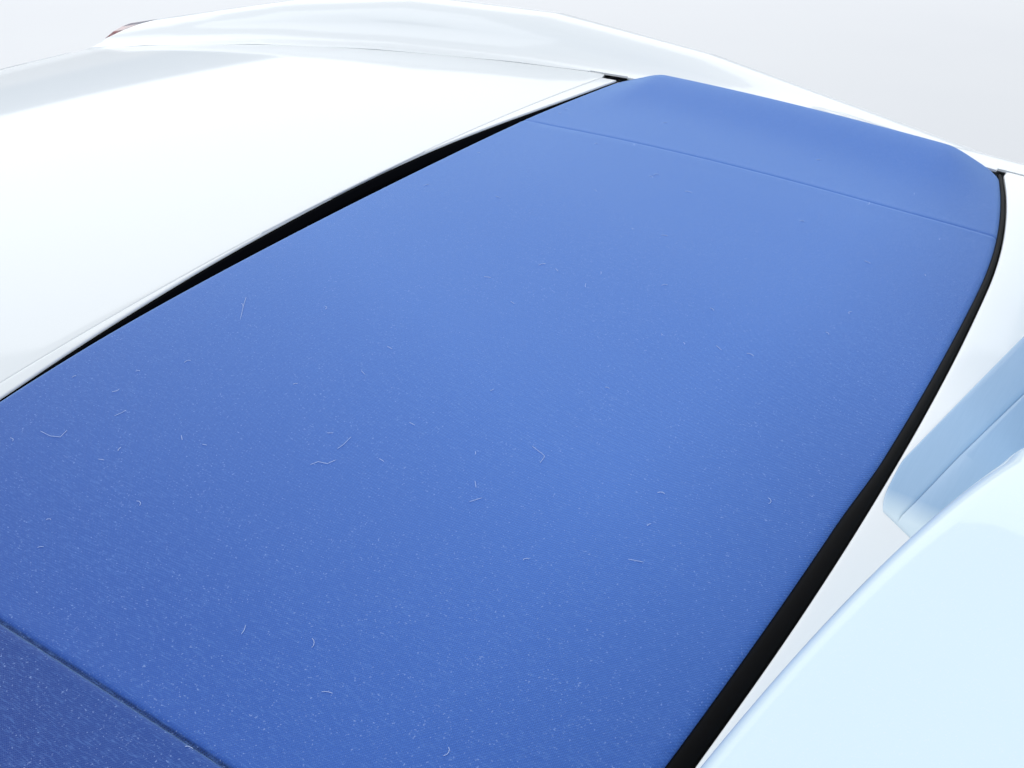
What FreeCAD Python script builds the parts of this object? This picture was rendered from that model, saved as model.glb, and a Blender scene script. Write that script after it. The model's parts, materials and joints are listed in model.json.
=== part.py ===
import FreeCAD, Part
import math
import os

# Rear deck of a two-seat roadster with its folding soft top stowed flush.
# Millimetres. +X towards the front of the car, +Y to its left side, +Z up.
# The origin is the centre of the bolt face under the cross member.

V = FreeCAD.Vector
DOC = FreeCAD.newDocument("roadster_rear_deck")

# Every driving size: alias, value, what it is.
SIZES = [
    ("deck_z", 560.0, "height of the deck's top above the bolt face"),
    ("crown_y", 11000.0, "crown radius of the deck across the car"),
    ("crown_x", 6500.0, "crown radius of the deck along the car"),
    ("crown_at", -350.0, "station where the deck is highest"),
    ("skin", 3.0, "thickness of the moulded body panels"),
    ("cloth", 4.0, "thickness of the lined roof cloth"),
    ("shut", 5.0, "shut line between body panels"),
    ("slab_swing", 36.0, "sweep angle of the crowned slabs"),
    ("slab_half", 900.0, "half width of the crowned slabs"),
    # front roof panel, the visible cloth
    ("roof_x_front", 0.0, "front edge on the centre line"),
    ("roof_x_front_end", -70.0, "front edge at its corners"),
    ("roof_y_front", 655.0, "half width at the front corners"),
    ("roof_x_shoulder", -10.0, "front edge where its flat middle ends"),
    ("roof_y_shoulder", 330.0, "half width of the flat middle"),
    ("roof_x_rear", -648.0, "rear edge on the centre line"),
    ("roof_x_rear_end", -606.0, "rear edge at its corners"),
    ("roof_y_rear", 704.0, "half width at the rear corners"),
    ("roof_corner", 42.0, "radius of the cloth's corners"),
    ("roof_hang", 24.0, "depth of the roof panel's frame"),
    ("frame_inset", 6.0, "distance from the cloth's edge to its frame"),
    ("roof_shut", 6.0, "gap between the roof panel and the wings"),
    ("seal_wide", 11.0, "width of the header seal seen from above"),
    ("seal_wide_end", 6.0, "its width at the corners"),
    ("seal_high", 16.0, "height of the header seal"),
    # folding linkage
    ("base_x", -620.0, "base hinge, along the car"),
    ("base_z", 450.0, "base hinge, height"),
    ("fold_x", -180.0, "hinge between rear and middle sections"),
    ("fold_z", 458.0, "its height"),
    ("knee_x", -612.0, "hinge between middle section and roof panel"),
    ("knee_z", 497.0, "its height"),
    ("rail_wide", 12.0, "thickness of the side rails"),
    ("outer_lane", 566.0, "centre of the outer rails"),
    ("inner_lane", 551.0, "centre of the inner rails"),
    ("base_lane", 582.0, "centre of the base bearings"),
    ("pin_r", 5.0, "radius of the hinge pins"),
    ("pin_play", 0.05, "radial clearance on the pins"),
    ("eye_r", 12.0, "radius of the rail eyes"),
    # boot lid
    ("lid_x_front", -669.0, "front edge of the lid on the centre line"),
    ("lid_x_front_end", -634.0, "front edge of the lid at its corners"),
    ("lid_y_front", 708.0, "half width of the lid at the front"),
    ("lid_x_rear", -1788.0, "rear edge on the centre line"),
    ("lid_x_rear_end", -1712.0, "rear edge at the corners"),
    ("lid_y_rear", 628.0, "half width of the lid at the rear"),
    ("lid_corner", 26.0, "radius of the lid's corners"),
    ("lid_hinge_x", -612.0, "lid hinge, along the car"),
    ("lid_hinge_z", 515.0, "lid hinge, height"),
    ("lid_lane", 692.0, "centre of the lid hinge arms"),
    ("lid_arm_wide", 8.0, "thickness of the lid hinge arms"),
    ("lid_rim", 60.0, "distance from the lid's edge to the gutter"),
    ("bay_start", -1655.0, "rear end of the first row of bays in the lid frame"),
    ("bay_size", 190.0, "size of each bay"),
    ("bay_pitch", 235.0, "distance from one bay to the next"),
    ("lid_deep", 18.0, "depth of the lid with its frame"),
    ("gutter_drop", 32.0, "depth of the gutter's top below the deck"),
    # carcass
    ("member_deep", 70.0, "cross member, along the car"),
    ("member_high", 50.0, "cross member, height"),
    ("member_half", 620.0, "cross member, half length"),
    ("member_wall", 3.0, "cross member, wall"),
    ("bolt_x", 20.0, "bolt pattern, half spacing along the car"),
    ("bolt_y", 480.0, "bolt pattern, half spacing across the car"),
    ("bolt_r", 5.5, "bolt hole radius"),
    ("well_front", -12.0, "roof well, front wall"),
    ("well_rear", -652.0, "roof well, rear wall"),
    ("well_half", 606.0, "roof well, half width"),
    ("well_floor", 340.0, "roof well, height of the floor"),
    ("well_top", 492.0, "roof well, height of the rim"),
    ("tub_front", -700.0, "boot, front wall"),
    ("tub_rear", -1640.0, "boot, rear wall"),
    ("tub_half", 540.0, "boot, half width"),
    ("tub_floor", 110.0, "boot, height of the floor"),
    ("tub_top", 370.0, "boot, height of the rim"),
    ("sheet_wall", 3.0, "wall of the well and the boot"),
    ("beam_low", 330.0, "side beams, underside"),
    ("beam_high", 370.0, "side beams, top"),
    ("cowl_gap", 2.0, "gap between the header seal and the cowl"),
    ("cowl_front", 250.0, "front edge of the cowl on the centre line"),
    ("cowl_front_end", 240.0, "front edge of the cowl at its corners"),
    ("cowl_half", 664.0, "half width of the cowl"),
    ("hoop_round", 26.0, "rounding of the hoop fairings' rear rim"),
    ("hoop_wall", 4.0, "wall of the hoop fairings"),
    # body sides
    ("wing_front", 250.0, "front end of the wings"),
    ("wing_rear", -1800.0, "rear end of the wings"),
    ("arch_x", -800.0, "wheel centre, along the car"),
    ("arch_z", -110.0, "wheel centre, height"),
    ("arch_r", 360.0, "radius of the wheel arch"),
    ("arch_lip", 7.0, "turned lip of the wheel arch"),
    ("tail_plan", 2600.0, "plan radius of the tail"),
    ("plate_half", 262.0, "plate recess, half width"),
    ("plate_low", 190.0, "plate recess, lower edge"),
    ("plate_high", 312.0, "plate recess, upper edge"),
    ("plate_deep", 22.0, "plate recess, depth"),
]

sheet = DOC.addObject("Spreadsheet::Sheet", "sizes")
for row, (alias, value, note) in enumerate(SIZES, start=1):
    sheet.set("A%d" % row, alias)
    sheet.set("B%d" % row, str(value))
    sheet.set("C%d" % row, note)
    sheet.setAlias("B%d" % row, alias)
DOC.recompute()


def val(alias):
    """Read one driving size from the sheet."""
    return float(sheet.get(alias))


# Sections of the left wing: station, crest height, crest and flank positions.
WING_SECTIONS = [
    # x, crest_z, y_crest, y_flank
    (250.0, 462.0, 790.0, 872.0),
    (-300.0, 520.0, 796.0, 876.0),
    (-800.0, 570.0, 800.0, 880.0),
    (-1300.0, 518.0, 780.0, 858.0),
    (-1830.0, 392.0, 700.0, 772.0),
]

WING_STATIONS = 9
WING_CHORDS = [2, 3, 3, 4, 3]

PARTS = []


def keep(obj, name, label):
    """Name a finished sub-part and put it on the list to be written."""
    obj.Label = label
    PARTS.append((name, obj))
    return obj


def bind(obj, prop, expression):
    """Bind one property to the sheet."""
    obj.setExpression(prop, expression)


def deck_height(x, y):
    """Height of the deck's top at a point in plan."""
    across = math.sqrt(val("crown_y") ** 2 - y ** 2) - val("crown_y")
    radius = val("crown_x") + across
    along = math.sqrt(radius ** 2 - (x - val("crown_at")) ** 2) - val("crown_x")
    return val("deck_z") + along


def plane(body, role):
    """One of the body's own origin planes."""
    for feature in body.Origin.OriginFeatures:
        if feature.Role == role:
            return feature
    raise ValueError(role)


def new_body(name):
    return DOC.addObject("PartDesign::Body", name)


def new_sketch(body, name, role, offsets=(None, None, None)):
    """Sketch on an origin plane, moved by expressions along its own axes."""
    made = body.newObject("Sketcher::SketchObject", name)
    made.AttachmentSupport = [(plane(body, role), "")]
    made.MapMode = "FlatFace"
    for axis, expression in zip("xyz", offsets):
        if expression:
            bind(made, "AttachmentOffset.Base." + axis, expression)
    DOC.recompute()
    return made


def fix_point(sketch, geo, pos, x_expr, y_expr, tag):
    """Tie one point of a sketch to expressions, sign included."""
    import Sketcher
    point = sketch.getPoint(geo, pos)
    for kind, expr, now in (("DistanceX", x_expr, point.x), ("DistanceY", y_expr, point.y)):
        if expr is None:
            continue
        index = sketch.addConstraint(Sketcher.Constraint(kind, -1, 1, geo, pos, now))
        name = tag + kind[-1]
        sketch.renameConstraint(index, name)
        bind(sketch, "Constraints." + name, expr)


def loop(sketch, corners, tag="p"):
    """Closed loop of straight lines, each corner tied to a pair of expressions."""
    import Sketcher
    pts = [V(number(cx), number(cy), 0) for cx, cy in corners]
    first = sketch.GeometryCount
    total = len(pts)
    for i in range(total):
        sketch.addGeometry(Part.LineSegment(pts[i], pts[(i + 1) % total]))
    for i in range(total):
        here, after = first + i, first + (i + 1) % total
        sketch.addConstraint(Sketcher.Constraint("Coincident", here, 2, after, 1))
    for i, (cx, cy) in enumerate(corners):
        fix_point(sketch, first + i, 1, cx, cy, "%s%d" % (tag, i))
    return first


def number(expression):
    """Value of a sheet expression: sums, products and brackets, to place a point at first."""
    text = expression.replace("sizes.", "").replace(" ", "")
    value, rest = read_sum(text)
    if rest:
        raise ValueError("cannot read " + expression)
    return value


def read_sum(text):
    value, rest = read_product(text)
    while rest and rest[0] in "+-":
        sign = 1.0 if rest[0] == "+" else -1.0
        term, rest = read_product(rest[1:])
        value += sign * term
    return value, rest


def read_product(text):
    value, rest = read_factor(text)
    while rest and rest[0] in "*/":
        mark = rest[0]
        factor, rest = read_factor(rest[1:])
        value = value * factor if mark == "*" else value / factor
    return value, rest


def read_factor(text):
    if text[0] == "-":
        value, rest = read_factor(text[1:])
        return -value, rest
    if text[0] == "(":
        value, rest = read_sum(text[1:])
        return value, rest[1:]
    size = 0
    while size < len(text) and (text[size].isalnum() or text[size] in "._"):
        size += 1
    word = text[:size]
    return (val(word) if word[0].isalpha() else float(word)), text[size:]


def box_loop(sketch, x_low, x_high, y_low, y_high, tag="p"):
    """Rectangle between four expressions."""
    return loop(sketch, [(x_low, y_low), (x_high, y_low), (x_high, y_high), (x_low, y_high)], tag)


def hole_at(sketch, x_expr, y_expr, r_expr, tag):
    """Circle tied to expressions."""
    import Sketcher
    geo = sketch.addGeometry(Part.Circle(V(number(x_expr), number(y_expr), 0), V(0, 0, 1),
                                         number(r_expr)))
    fix_point(sketch, geo, 3, x_expr, y_expr, tag)
    index = sketch.addConstraint(Sketcher.Constraint("Radius", geo, number(r_expr)))
    sketch.renameConstraint(index, tag + "r")
    bind(sketch, "Constraints." + tag + "r", r_expr)
    return geo


def pad(body, sketch, length_expr, name, both=False, flip=False):
    """Pad a sketch by an expression."""
    feature = body.newObject("PartDesign::Pad", name)
    feature.Profile = sketch
    bind(feature, "Length", length_expr)
    feature.Midplane = both
    feature.Reversed = flip
    sketch.Visibility = False
    DOC.recompute()
    return feature


def pocket(body, sketch, name, length_expr=None, flip=False, both=False):
    """Pocket a sketch, through everything unless a length is given; it must remove volume."""
    before = body.Shape.Volume
    feature = body.newObject("PartDesign::Pocket", name)
    feature.Profile = sketch
    if length_expr:
        bind(feature, "Length", length_expr)
    else:
        feature.Type = "ThroughAll"
    feature.Midplane = both
    feature.Reversed = flip
    sketch.Visibility = False
    DOC.recompute()
    if body.Shape.Volume >= before - 1.0:
        raise ValueError("pocket %s removed nothing" % name)
    return feature


def round_edges(body, radius_expr, name, wanted):
    """Fillet the edges of the body's tip that the test accepts."""
    base = body.Tip
    names = ["Edge%d" % (i + 1) for i, edge in enumerate(base.Shape.Edges) if wanted(edge)]
    if not names:
        raise ValueError("no edge for " + name)
    feature = body.newObject("PartDesign::Fillet", name)
    feature.Base = (base, names)
    bind(feature, "Radius", radius_expr)
    DOC.recompute()
    return feature


def is_upright(edge):
    """True for an edge that runs along Z."""
    box = edge.BoundBox
    return box.ZLength > 0.9 * edge.Length


def crowned_slab(body, name, top_expr, thick_expr):
    """Revolve an arc-topped strip about a line across the car, for a double-crowned slab."""
    import Sketcher
    sketch = new_sketch(body, name + "_section", "YZ_Plane",
                        (None, "sizes.deck_z - sizes.crown_x", "sizes.crown_at"))
    top = number(top_expr)
    low = top + number(thick_expr)
    crown = val("crown_y")
    centre = V(0, val("crown_x") - crown, 0)
    half = val("slab_half")
    ends = []
    for depth in (top, low):
        radius = crown - depth
        angle = math.asin(half / radius)
        circle = Part.Circle(centre, V(0, 0, 1), radius)
        arc = Part.ArcOfCircle(circle, math.pi / 2 - angle, math.pi / 2 + angle)
        sketch.addGeometry(arc)
        ends.append(arc)
    sketch.addGeometry(Part.LineSegment(ends[0].StartPoint, ends[1].StartPoint))
    sketch.addGeometry(Part.LineSegment(ends[1].EndPoint, ends[0].EndPoint))
    joinings = [(0, 1, 2, 1), (2, 2, 1, 1), (1, 2, 3, 1), (3, 2, 0, 2)]
    for joining in joinings:
        sketch.addConstraint(Sketcher.Constraint("Coincident", *joining))
    sketch.addConstraint(Sketcher.Constraint("Coincident", 0, 3, 1, 3))
    sketch.addConstraint(Sketcher.Constraint("PointOnObject", 0, 3, -2))
    index = sketch.addConstraint(Sketcher.Constraint("DistanceY", -1, 1, 0, 3, centre.y))
    sketch.renameConstraint(index, "centre")
    bind(sketch, "Constraints.centre", "sizes.crown_x - sizes.crown_y")
    for geo, label, depth in ((0, "upper", top_expr), (1, "lower", top_expr + " + " + thick_expr)):
        radius = crown - number(depth)
        index = sketch.addConstraint(Sketcher.Constraint("Radius", geo, radius))
        sketch.renameConstraint(index, label)
        bind(sketch, "Constraints." + label, "sizes.crown_y - (%s)" % depth)
    for geo, pos, sign in ((0, 1, 1), (0, 2, -1), (1, 1, 1), (1, 2, -1)):
        point = sketch.getPoint(geo, pos)
        index = sketch.addConstraint(Sketcher.Constraint("DistanceX", -1, 1, geo, pos, point.x))
        label = "half%d%d" % (geo, pos)
        sketch.renameConstraint(index, label)
        bind(sketch, "Constraints." + label, "%d * sizes.slab_half" % sign)
    DOC.recompute()
    feature = body.newObject("PartDesign::Revolution", name + "_slab")
    feature.Profile = sketch
    feature.ReferenceAxis = (sketch, ["H_Axis"])
    bind(feature, "Angle", "sizes.slab_swing")
    feature.Midplane = True
    sketch.Visibility = False
    DOC.recompute()
    return feature


def bow_circle(mid_x, end_x, half):
    """Centre and radius of the bowed edge through the middle and the corners."""
    rise = mid_x - end_x
    radius = (half ** 2 + rise ** 2) / (2 * abs(rise))
    return mid_x - math.copysign(radius, rise), radius


def edge_circles(edge):
    """Middle circle and left end circle of a bowed edge as (centre, radius), and its shoulder.

    edge is (x on the centre line, x at the corner, half width), then (x, y) of the shoulder
    where a flatter middle arc ends, if it has one.
    """
    mid_x, end_x, half = edge[:3]
    if len(edge) == 3:
        centre_x, radius = bow_circle(mid_x, end_x, half)
        return (V(centre_x, 0, 0), radius), (V(centre_x, 0, 0), radius), None
    shoulder = V(edge[3], edge[4], 0)
    centre_x, radius = bow_circle(mid_x, shoulder.x, shoulder.y)
    centre = V(centre_x, 0, 0)
    inward = centre.sub(shoulder)
    inward.normalize()
    chord = V(end_x, half, 0).sub(shoulder)
    size = chord.dot(chord) / (2 * chord.dot(inward))
    return (centre, radius), (shoulder.add(V(inward).multiply(size)), size), shoulder


def on_circle(circle, a, b):
    """Point of a circle midway between two of its points."""
    centre, radius = circle
    away = a.add(b).multiply(0.5).sub(centre)
    away.normalize()
    return centre.add(away.multiply(radius))


def flip(point):
    """The same point on the other side of the car."""
    return V(point.x, -point.y, point.z)


def corner_points(edge, line_start, line_end, radius, inner_x):
    """Tangent points and middle of the arc that rounds a corner on the left side.

    The side line runs from this corner to line_end; inner_x is a station inside the outline.
    """
    bow_centre, bow = edge_circles(edge)[1]
    convex = (bow_centre.x - edge[0]) * (inner_x - edge[0]) > 0
    reach = bow - radius if convex else bow + radius
    along = line_end.sub(line_start)
    along.normalize()
    inward = V(-along.y, along.x, 0)
    if inward.y > 0:
        inward = inward.multiply(-1)
    start = line_start.add(V(inward).multiply(radius)).sub(bow_centre)
    b = start.dot(along)
    root = math.sqrt(b * b - start.dot(start) + reach * reach)
    step = min((-b - root, -b + root), key=lambda s: abs(s - radius))
    on_line = line_start.add(V(along).multiply(step))
    centre = on_line.add(V(inward).multiply(radius))
    out = centre.sub(bow_centre)
    on_bow = bow_centre.add(out.multiply(bow / out.Length))
    return on_bow, on_circle((centre, radius), on_line, on_bow), on_line


def bind_new(sketch, constraint, name, expression):
    """Add a constraint, name it and tie it to the sheet."""
    index = sketch.addConstraint(constraint)
    sketch.renameConstraint(index, name)
    bind(sketch, "Constraints." + name, expression)


def nearest_end(sketch, geo, point):
    """Which end of an edge lies at a point."""
    first = sketch.getPoint(geo, 1).distanceToPoint(point)
    return 1 if first < sketch.getPoint(geo, 2).distanceToPoint(point) else 2


def add_bow(sketch, key, names, numbers, marks):
    """Arcs of one bowed edge, tied to the sheet; returns its arc at each end."""
    import Sketcher
    middle, end, shoulder = edge_circles(numbers)
    tip = marks[0]
    far = tip if shoulder is None else shoulder
    bow = sketch.addGeometry(Part.Arc(flip(far), V(numbers[0], 0, 0), far))
    mid_x, end_x, half = names[:3] if shoulder is None else (names[0], names[3], names[4])
    rise = "(%s - (%s))" % (mid_x, end_x)
    size = "((%s) * (%s) + %s * %s) / (2 * abs%s)" % (half, half, rise, rise, rise)
    sketch.addConstraint(Sketcher.Constraint("PointOnObject", bow, 3, -1))
    bind_new(sketch, Sketcher.Constraint("Radius", bow, middle[1]), key + "_bow", size)
    sign = "-" if numbers[0] > numbers[1] else "+"
    bind_new(sketch, Sketcher.Constraint("DistanceX", -1, 1, bow, 3, middle[0].x), key + "_centre",
             "%s %s %s" % (mid_x, sign, size))
    if shoulder is None:
        return {"left": bow, "right": bow}
    arcs = {}
    for tag, turn, mark in (("left", V, ""), ("right", flip, "-1 * ")):
        arc = sketch.addGeometry(Part.Arc(turn(shoulder), turn(on_circle(end, shoulder, tip)), turn(tip)))
        here = nearest_end(sketch, bow, turn(shoulder))
        fix_point(sketch, bow, here, None, "%s(%s)" % (mark, half), "%s_shoulder_%s" % (key, tag))
        sketch.addConstraint(Sketcher.Constraint(
            "Tangent", bow, here, arc, nearest_end(sketch, arc, turn(shoulder))))
        arcs[tag] = arc
    return arcs


def bowed_outline(sketch, rear, front, corner="8"):
    """Rounded outline in plan: bowed rear and front edges, straight sides, tied to the sheet.

    rear and front are edges as edge_circles takes them, in expressions.
    """
    import Sketcher
    radius = number(corner)
    numbers = {"front": [number(e) for e in front], "rear": [number(e) for e in rear]}
    names = {"front": front, "rear": rear}
    ends = {key: V(row[1], row[2], 0) for key, row in numbers.items()}
    inner_x = (ends["front"].x + ends["rear"].x) / 2
    marks = {key: corner_points(numbers[key], ends[key], ends[other], radius, inner_x)
             for key, other in (("front", "rear"), ("rear", "front"))}
    arcs = {key: add_bow(sketch, key, names[key], numbers[key], marks[key]) for key in names}
    for tag, turn, sign in (("left", V, ""), ("right", flip, "-1 * ")):
        line = sketch.addGeometry(Part.LineSegment(turn(marks["front"][2]), turn(marks["rear"][2])))
        guide = sketch.addGeometry(Part.LineSegment(turn(ends["front"]), turn(ends["rear"])), True)
        for pos, key in ((1, "front"), (2, "rear")):
            on_bow, middle, on_line = [turn(point) for point in marks[key]]
            arc = sketch.addGeometry(Part.Arc(on_bow, middle, on_line))
            bind_new(sketch, Sketcher.Constraint("Radius", arc, radius), "%s_%s" % (key, tag), corner)
            for other, point in ((arcs[key][tag], on_bow), (line, on_line)):
                sketch.addConstraint(Sketcher.Constraint(
                    "Tangent", arc, nearest_end(sketch, arc, point), other,
                    nearest_end(sketch, other, point)))
            fix_point(sketch, guide, pos, names[key][1], "%s(%s)" % (sign, names[key][2]),
                      "%s_%s" % (key, tag))
            if len(names[key]) > 3:
                sketch.addConstraint(Sketcher.Constraint("PointOnObject", guide, pos, arcs[key][tag]))
            sketch.addConstraint(Sketcher.Constraint("PointOnObject", line, pos, guide))
    DOC.recompute()


def crowned_panel(name, label, top_expr, thick_expr, rear, front, corner_expr="3"):
    """Body: crowned slab trimmed to a bowed outline, with rounded corners."""
    body = new_body(name)
    crowned_slab(body, name, top_expr, thick_expr)
    trim = new_sketch(body, name + "_trim", "XY_Plane")
    box_loop(trim, "-3400", "2600", "-1100", "1100", "q")
    bowed_outline(trim, rear, front, corner_expr)
    pocket(body, trim, name + "_cut", both=True)
    return keep(body, name, label)


def shape_node(name, label, shape):
    """Sub-part whose shape no sketch feature gives."""
    obj = DOC.addObject("Part::Feature", name)
    obj.Shape = shape
    return keep(obj, name, label)


def mirrored(shape):
    """The same piece on the other side of the car."""
    return shape.mirror(V(0, 0, 0), V(0, 1, 0))


def block(x0, x1, y0, y1, z0, z1):
    return Part.makeBox(x1 - x0, y1 - y0, z1 - z0, V(x0, y0, z0))


# Pieces of the roof panel

ROOF_REAR = ("sizes.roof_x_rear", "sizes.roof_x_rear_end", "sizes.roof_y_rear")
ROOF_FRONT = ("sizes.roof_x_front", "sizes.roof_x_front_end", "sizes.roof_y_front",
              "sizes.roof_x_shoulder", "sizes.roof_y_shoulder")
LID_REAR = ("sizes.lid_x_rear", "sizes.lid_x_rear_end", "sizes.lid_y_rear")
LID_FRONT = ("sizes.lid_x_front", "sizes.lid_x_front_end", "sizes.lid_y_front")


def inset(edge, amount, sign):
    """The same edge moved inwards by an expression."""
    mark = "+" if sign > 0 else "-"
    moved = ["%s %s %s" % (edge[0], mark, amount), "%s %s %s" % (edge[1], mark, amount),
             "%s - %s" % (edge[2], amount)]
    if len(edge) > 3:
        moved += ["%s %s %s" % (edge[3], mark, amount), edge[4]]
    return tuple(moved)


def ahead(edge, middle, end):
    """An edge moved forwards, by one amount over its middle and another at its corners."""
    return ("%s + %s" % (edge[0], middle), "%s + %s" % (edge[1], end), edge[2],
            "%s + %s" % (edge[3], middle), edge[4])


def slot_sketch_box(body, name, role, offsets, x_low, x_high, y_low, y_high):
    """Sketch that holds one rectangle."""
    made = new_sketch(body, name, role, offsets)
    box_loop(made, x_low, x_high, y_low, y_high)
    DOC.recompute()
    return made


def make_roof_panel():
    """Front roof section: cloth, frame, header seal, latch and rails."""
    crowned_panel("roof_cloth", "Roof panel cloth", "0", "sizes.cloth", ROOF_REAR, ROOF_FRONT,
                  "sizes.roof_corner")
    frame = crowned_panel("roof_frame", "Roof panel frame", "sizes.cloth",
                          "sizes.roof_hang - sizes.cloth", inset(ROOF_REAR, "sizes.frame_inset + 4", 1),
                          inset(ROOF_FRONT, "sizes.frame_inset", -1),
                          "sizes.roof_corner - sizes.frame_inset")
    bays = new_sketch(frame, "roof_bays", "XY_Plane")
    for i, (low, high) in enumerate(((-570, -410), (-370, -230), (-190, -110))):
        box_loop(bays, str(low), str(high), "-540", "540", "b%d" % i)
    pocket(frame, bays, "roof_bays_cut", both=True)
    crowned_panel("header_seal", "Header seal", "3", "sizes.seal_high",
                  ahead(ROOF_FRONT, "0.3", "0.3"),
                  ahead(ROOF_FRONT, "sizes.seal_wide", "sizes.seal_wide_end"), "1.5")
    for side, sign in (("left", ""), ("right", "-1 * ")):
        make_roof_rail(side, sign)
    latch = new_body("header_latch")
    crowned_slab(latch, "latch", "sizes.roof_hang", "20")
    trim = new_sketch(latch, "latch_trim", "XY_Plane")
    box_loop(trim, "-3400", "2600", "-1100", "1100", "q")
    box_loop(trim, "-92", "-38", "-45", "45")
    DOC.recompute()
    pocket(latch, trim, "latch_cut", both=True)
    slot = slot_sketch_box(latch, "latch_slot", "XY_Plane", (None, None, "500"),
                           "-76", "-54", "-20", "20")
    pocket(latch, slot, "latch_mouth", "28", flip=True)
    keep(latch, "header_latch", "Header latch")


def make_roof_rail(side, sign):
    name = "roof_rail_" + side
    body = new_body(name)
    crowned_slab(body, name, "sizes.roof_hang", "16")
    trim = new_sketch(body, name + "_trim", "XY_Plane")
    box_loop(trim, "-3400", "2600", "-1100", "1100", "q")
    low, high = ("-", "+") if sign == "" else ("+", "-")
    box_loop(trim, "-612", "-60", sign + "sizes.outer_lane %s sizes.rail_wide / 2" % low,
             sign + "sizes.outer_lane %s sizes.rail_wide / 2" % high, "r")
    pocket(body, trim, name + "_cut", both=True)
    add_eye(body, name, sign, "sizes.outer_lane", "sizes.knee_x", "sizes.knee_z")
    add_pin(body, name, sign, "sizes.outer_lane", "sizes.knee_x", "sizes.knee_z", "sizes.inner_lane")
    keep(body, name, "Roof panel rail, " + side)


def lane_offset(sign, lane):
    """Offset of a sketch on the XZ plane, whose normal points to the right side."""
    return "-1 * %s" % lane if sign == "" else lane


def add_eye(body, name, sign, lane, x, z, tag="eye"):
    """Round boss as wide as the rail."""
    made = new_sketch(body, "%s_%s" % (name, tag), "XZ_Plane", (None, None, lane_offset(sign, lane)))
    hole_at(made, x, z, "sizes.eye_r", "c")
    DOC.recompute()
    pad(body, made, "sizes.rail_wide", "%s_%s_boss" % (name, tag), both=True)


def add_bore(body, name, sign, lane, x, z, tag="bore"):
    """Running bore for a hinge pin."""
    made = new_sketch(body, "%s_%s" % (name, tag), "XZ_Plane", (None, None, lane_offset(sign, lane)))
    hole_at(made, x, z, "sizes.pin_r + sizes.pin_play", "c")
    DOC.recompute()
    pocket(body, made, "%s_%s_hole" % (name, tag), "sizes.rail_wide + 2", both=True)


def add_pin(body, name, sign, lane, x, z, to_lane, tag="pin"):
    """Pin from the middle of one lane through to the far side of another."""
    made = new_sketch(body, "%s_%s" % (name, tag), "XZ_Plane", (None, None, lane_offset(sign, lane)))
    hole_at(made, x, z, "sizes.pin_r", "c")
    DOC.recompute()
    inward = number(to_lane) < number(lane)
    first, second = (lane, to_lane) if inward else (to_lane, lane)
    reach = "%s - %s + sizes.rail_wide / 2 + 1" % (first, second)
    feature = body.newObject("PartDesign::Pad", "%s_%s_shaft" % (name, tag))
    feature.Profile = made
    bind(feature, "Length", reach)
    feature.Reversed = (sign == "-1 * ") == inward
    made.Visibility = False
    DOC.recompute()


def rail_body(name, label, sign, lane, low_x, high_x, low_z, high_z):
    """Straight side rail in one lane."""
    body = new_body(name)
    made = slot_sketch_box(body, name + "_side", "XZ_Plane", (None, None, lane_offset(sign, lane)),
                           low_x, high_x, low_z, high_z)
    pad(body, made, "sizes.rail_wide", name + "_bar", both=True)
    keep(body, name, label)
    return body


def make_rear_section():
    """Rear section of the roof: rails, frame with window, cloth and glass."""
    for side, sign in (("left", ""), ("right", "-1 * ")):
        name = "rear_rail_" + side
        body = rail_body(name, "Rear section rail, " + side, sign, "sizes.outer_lane",
                         "sizes.base_x", "sizes.fold_x", "432", "450")
        add_eye(body, name, sign, "sizes.outer_lane", "sizes.base_x", "sizes.base_z", "base_eye")
        add_eye(body, name, sign, "sizes.outer_lane", "sizes.fold_x", "sizes.fold_z", "fold_eye")
        add_bore(body, name, sign, "sizes.outer_lane", "sizes.base_x", "sizes.base_z")
        add_pin(body, name, sign, "sizes.outer_lane", "sizes.fold_x", "sizes.fold_z",
                "sizes.inner_lane")
    frame = new_body("rear_frame")
    plan = slot_sketch_box(frame, "rear_frame_plan", "XY_Plane", (None, None, "434"),
                           "-600", "-215", "-1 * sizes.outer_lane + sizes.rail_wide / 2",
                           "sizes.outer_lane - sizes.rail_wide / 2")
    pad(frame, plan, "16", "rear_frame_plate")
    window = slot_sketch_box(frame, "rear_frame_window", "XY_Plane", (None, None, "460"),
                             "-545", "-275", "-440", "440")
    pocket(frame, window, "rear_frame_opening")
    keep(frame, "rear_frame", "Rear section frame")
    cloth = new_body("rear_cloth")
    plan = slot_sketch_box(cloth, "rear_cloth_plan", "XY_Plane", (None, None, "450"),
                           "-606", "-200", "-575", "575")
    pad(cloth, plan, "sizes.cloth", "rear_cloth_sheet")
    window = slot_sketch_box(cloth, "rear_cloth_window", "XY_Plane", (None, None, "460"),
                             "-533", "-287", "-428", "428")
    pocket(cloth, window, "rear_cloth_opening")
    keep(cloth, "rear_cloth", "Rear section cloth")
    glass = new_body("rear_glass")
    plan = slot_sketch_box(glass, "rear_glass_plan", "XY_Plane", (None, None, "446"),
                           "-544.7", "-275.3", "-439.7", "439.7")
    pad(glass, plan, "4", "rear_glass_pane")
    keep(glass, "rear_glass", "Rear window glass")


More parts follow.
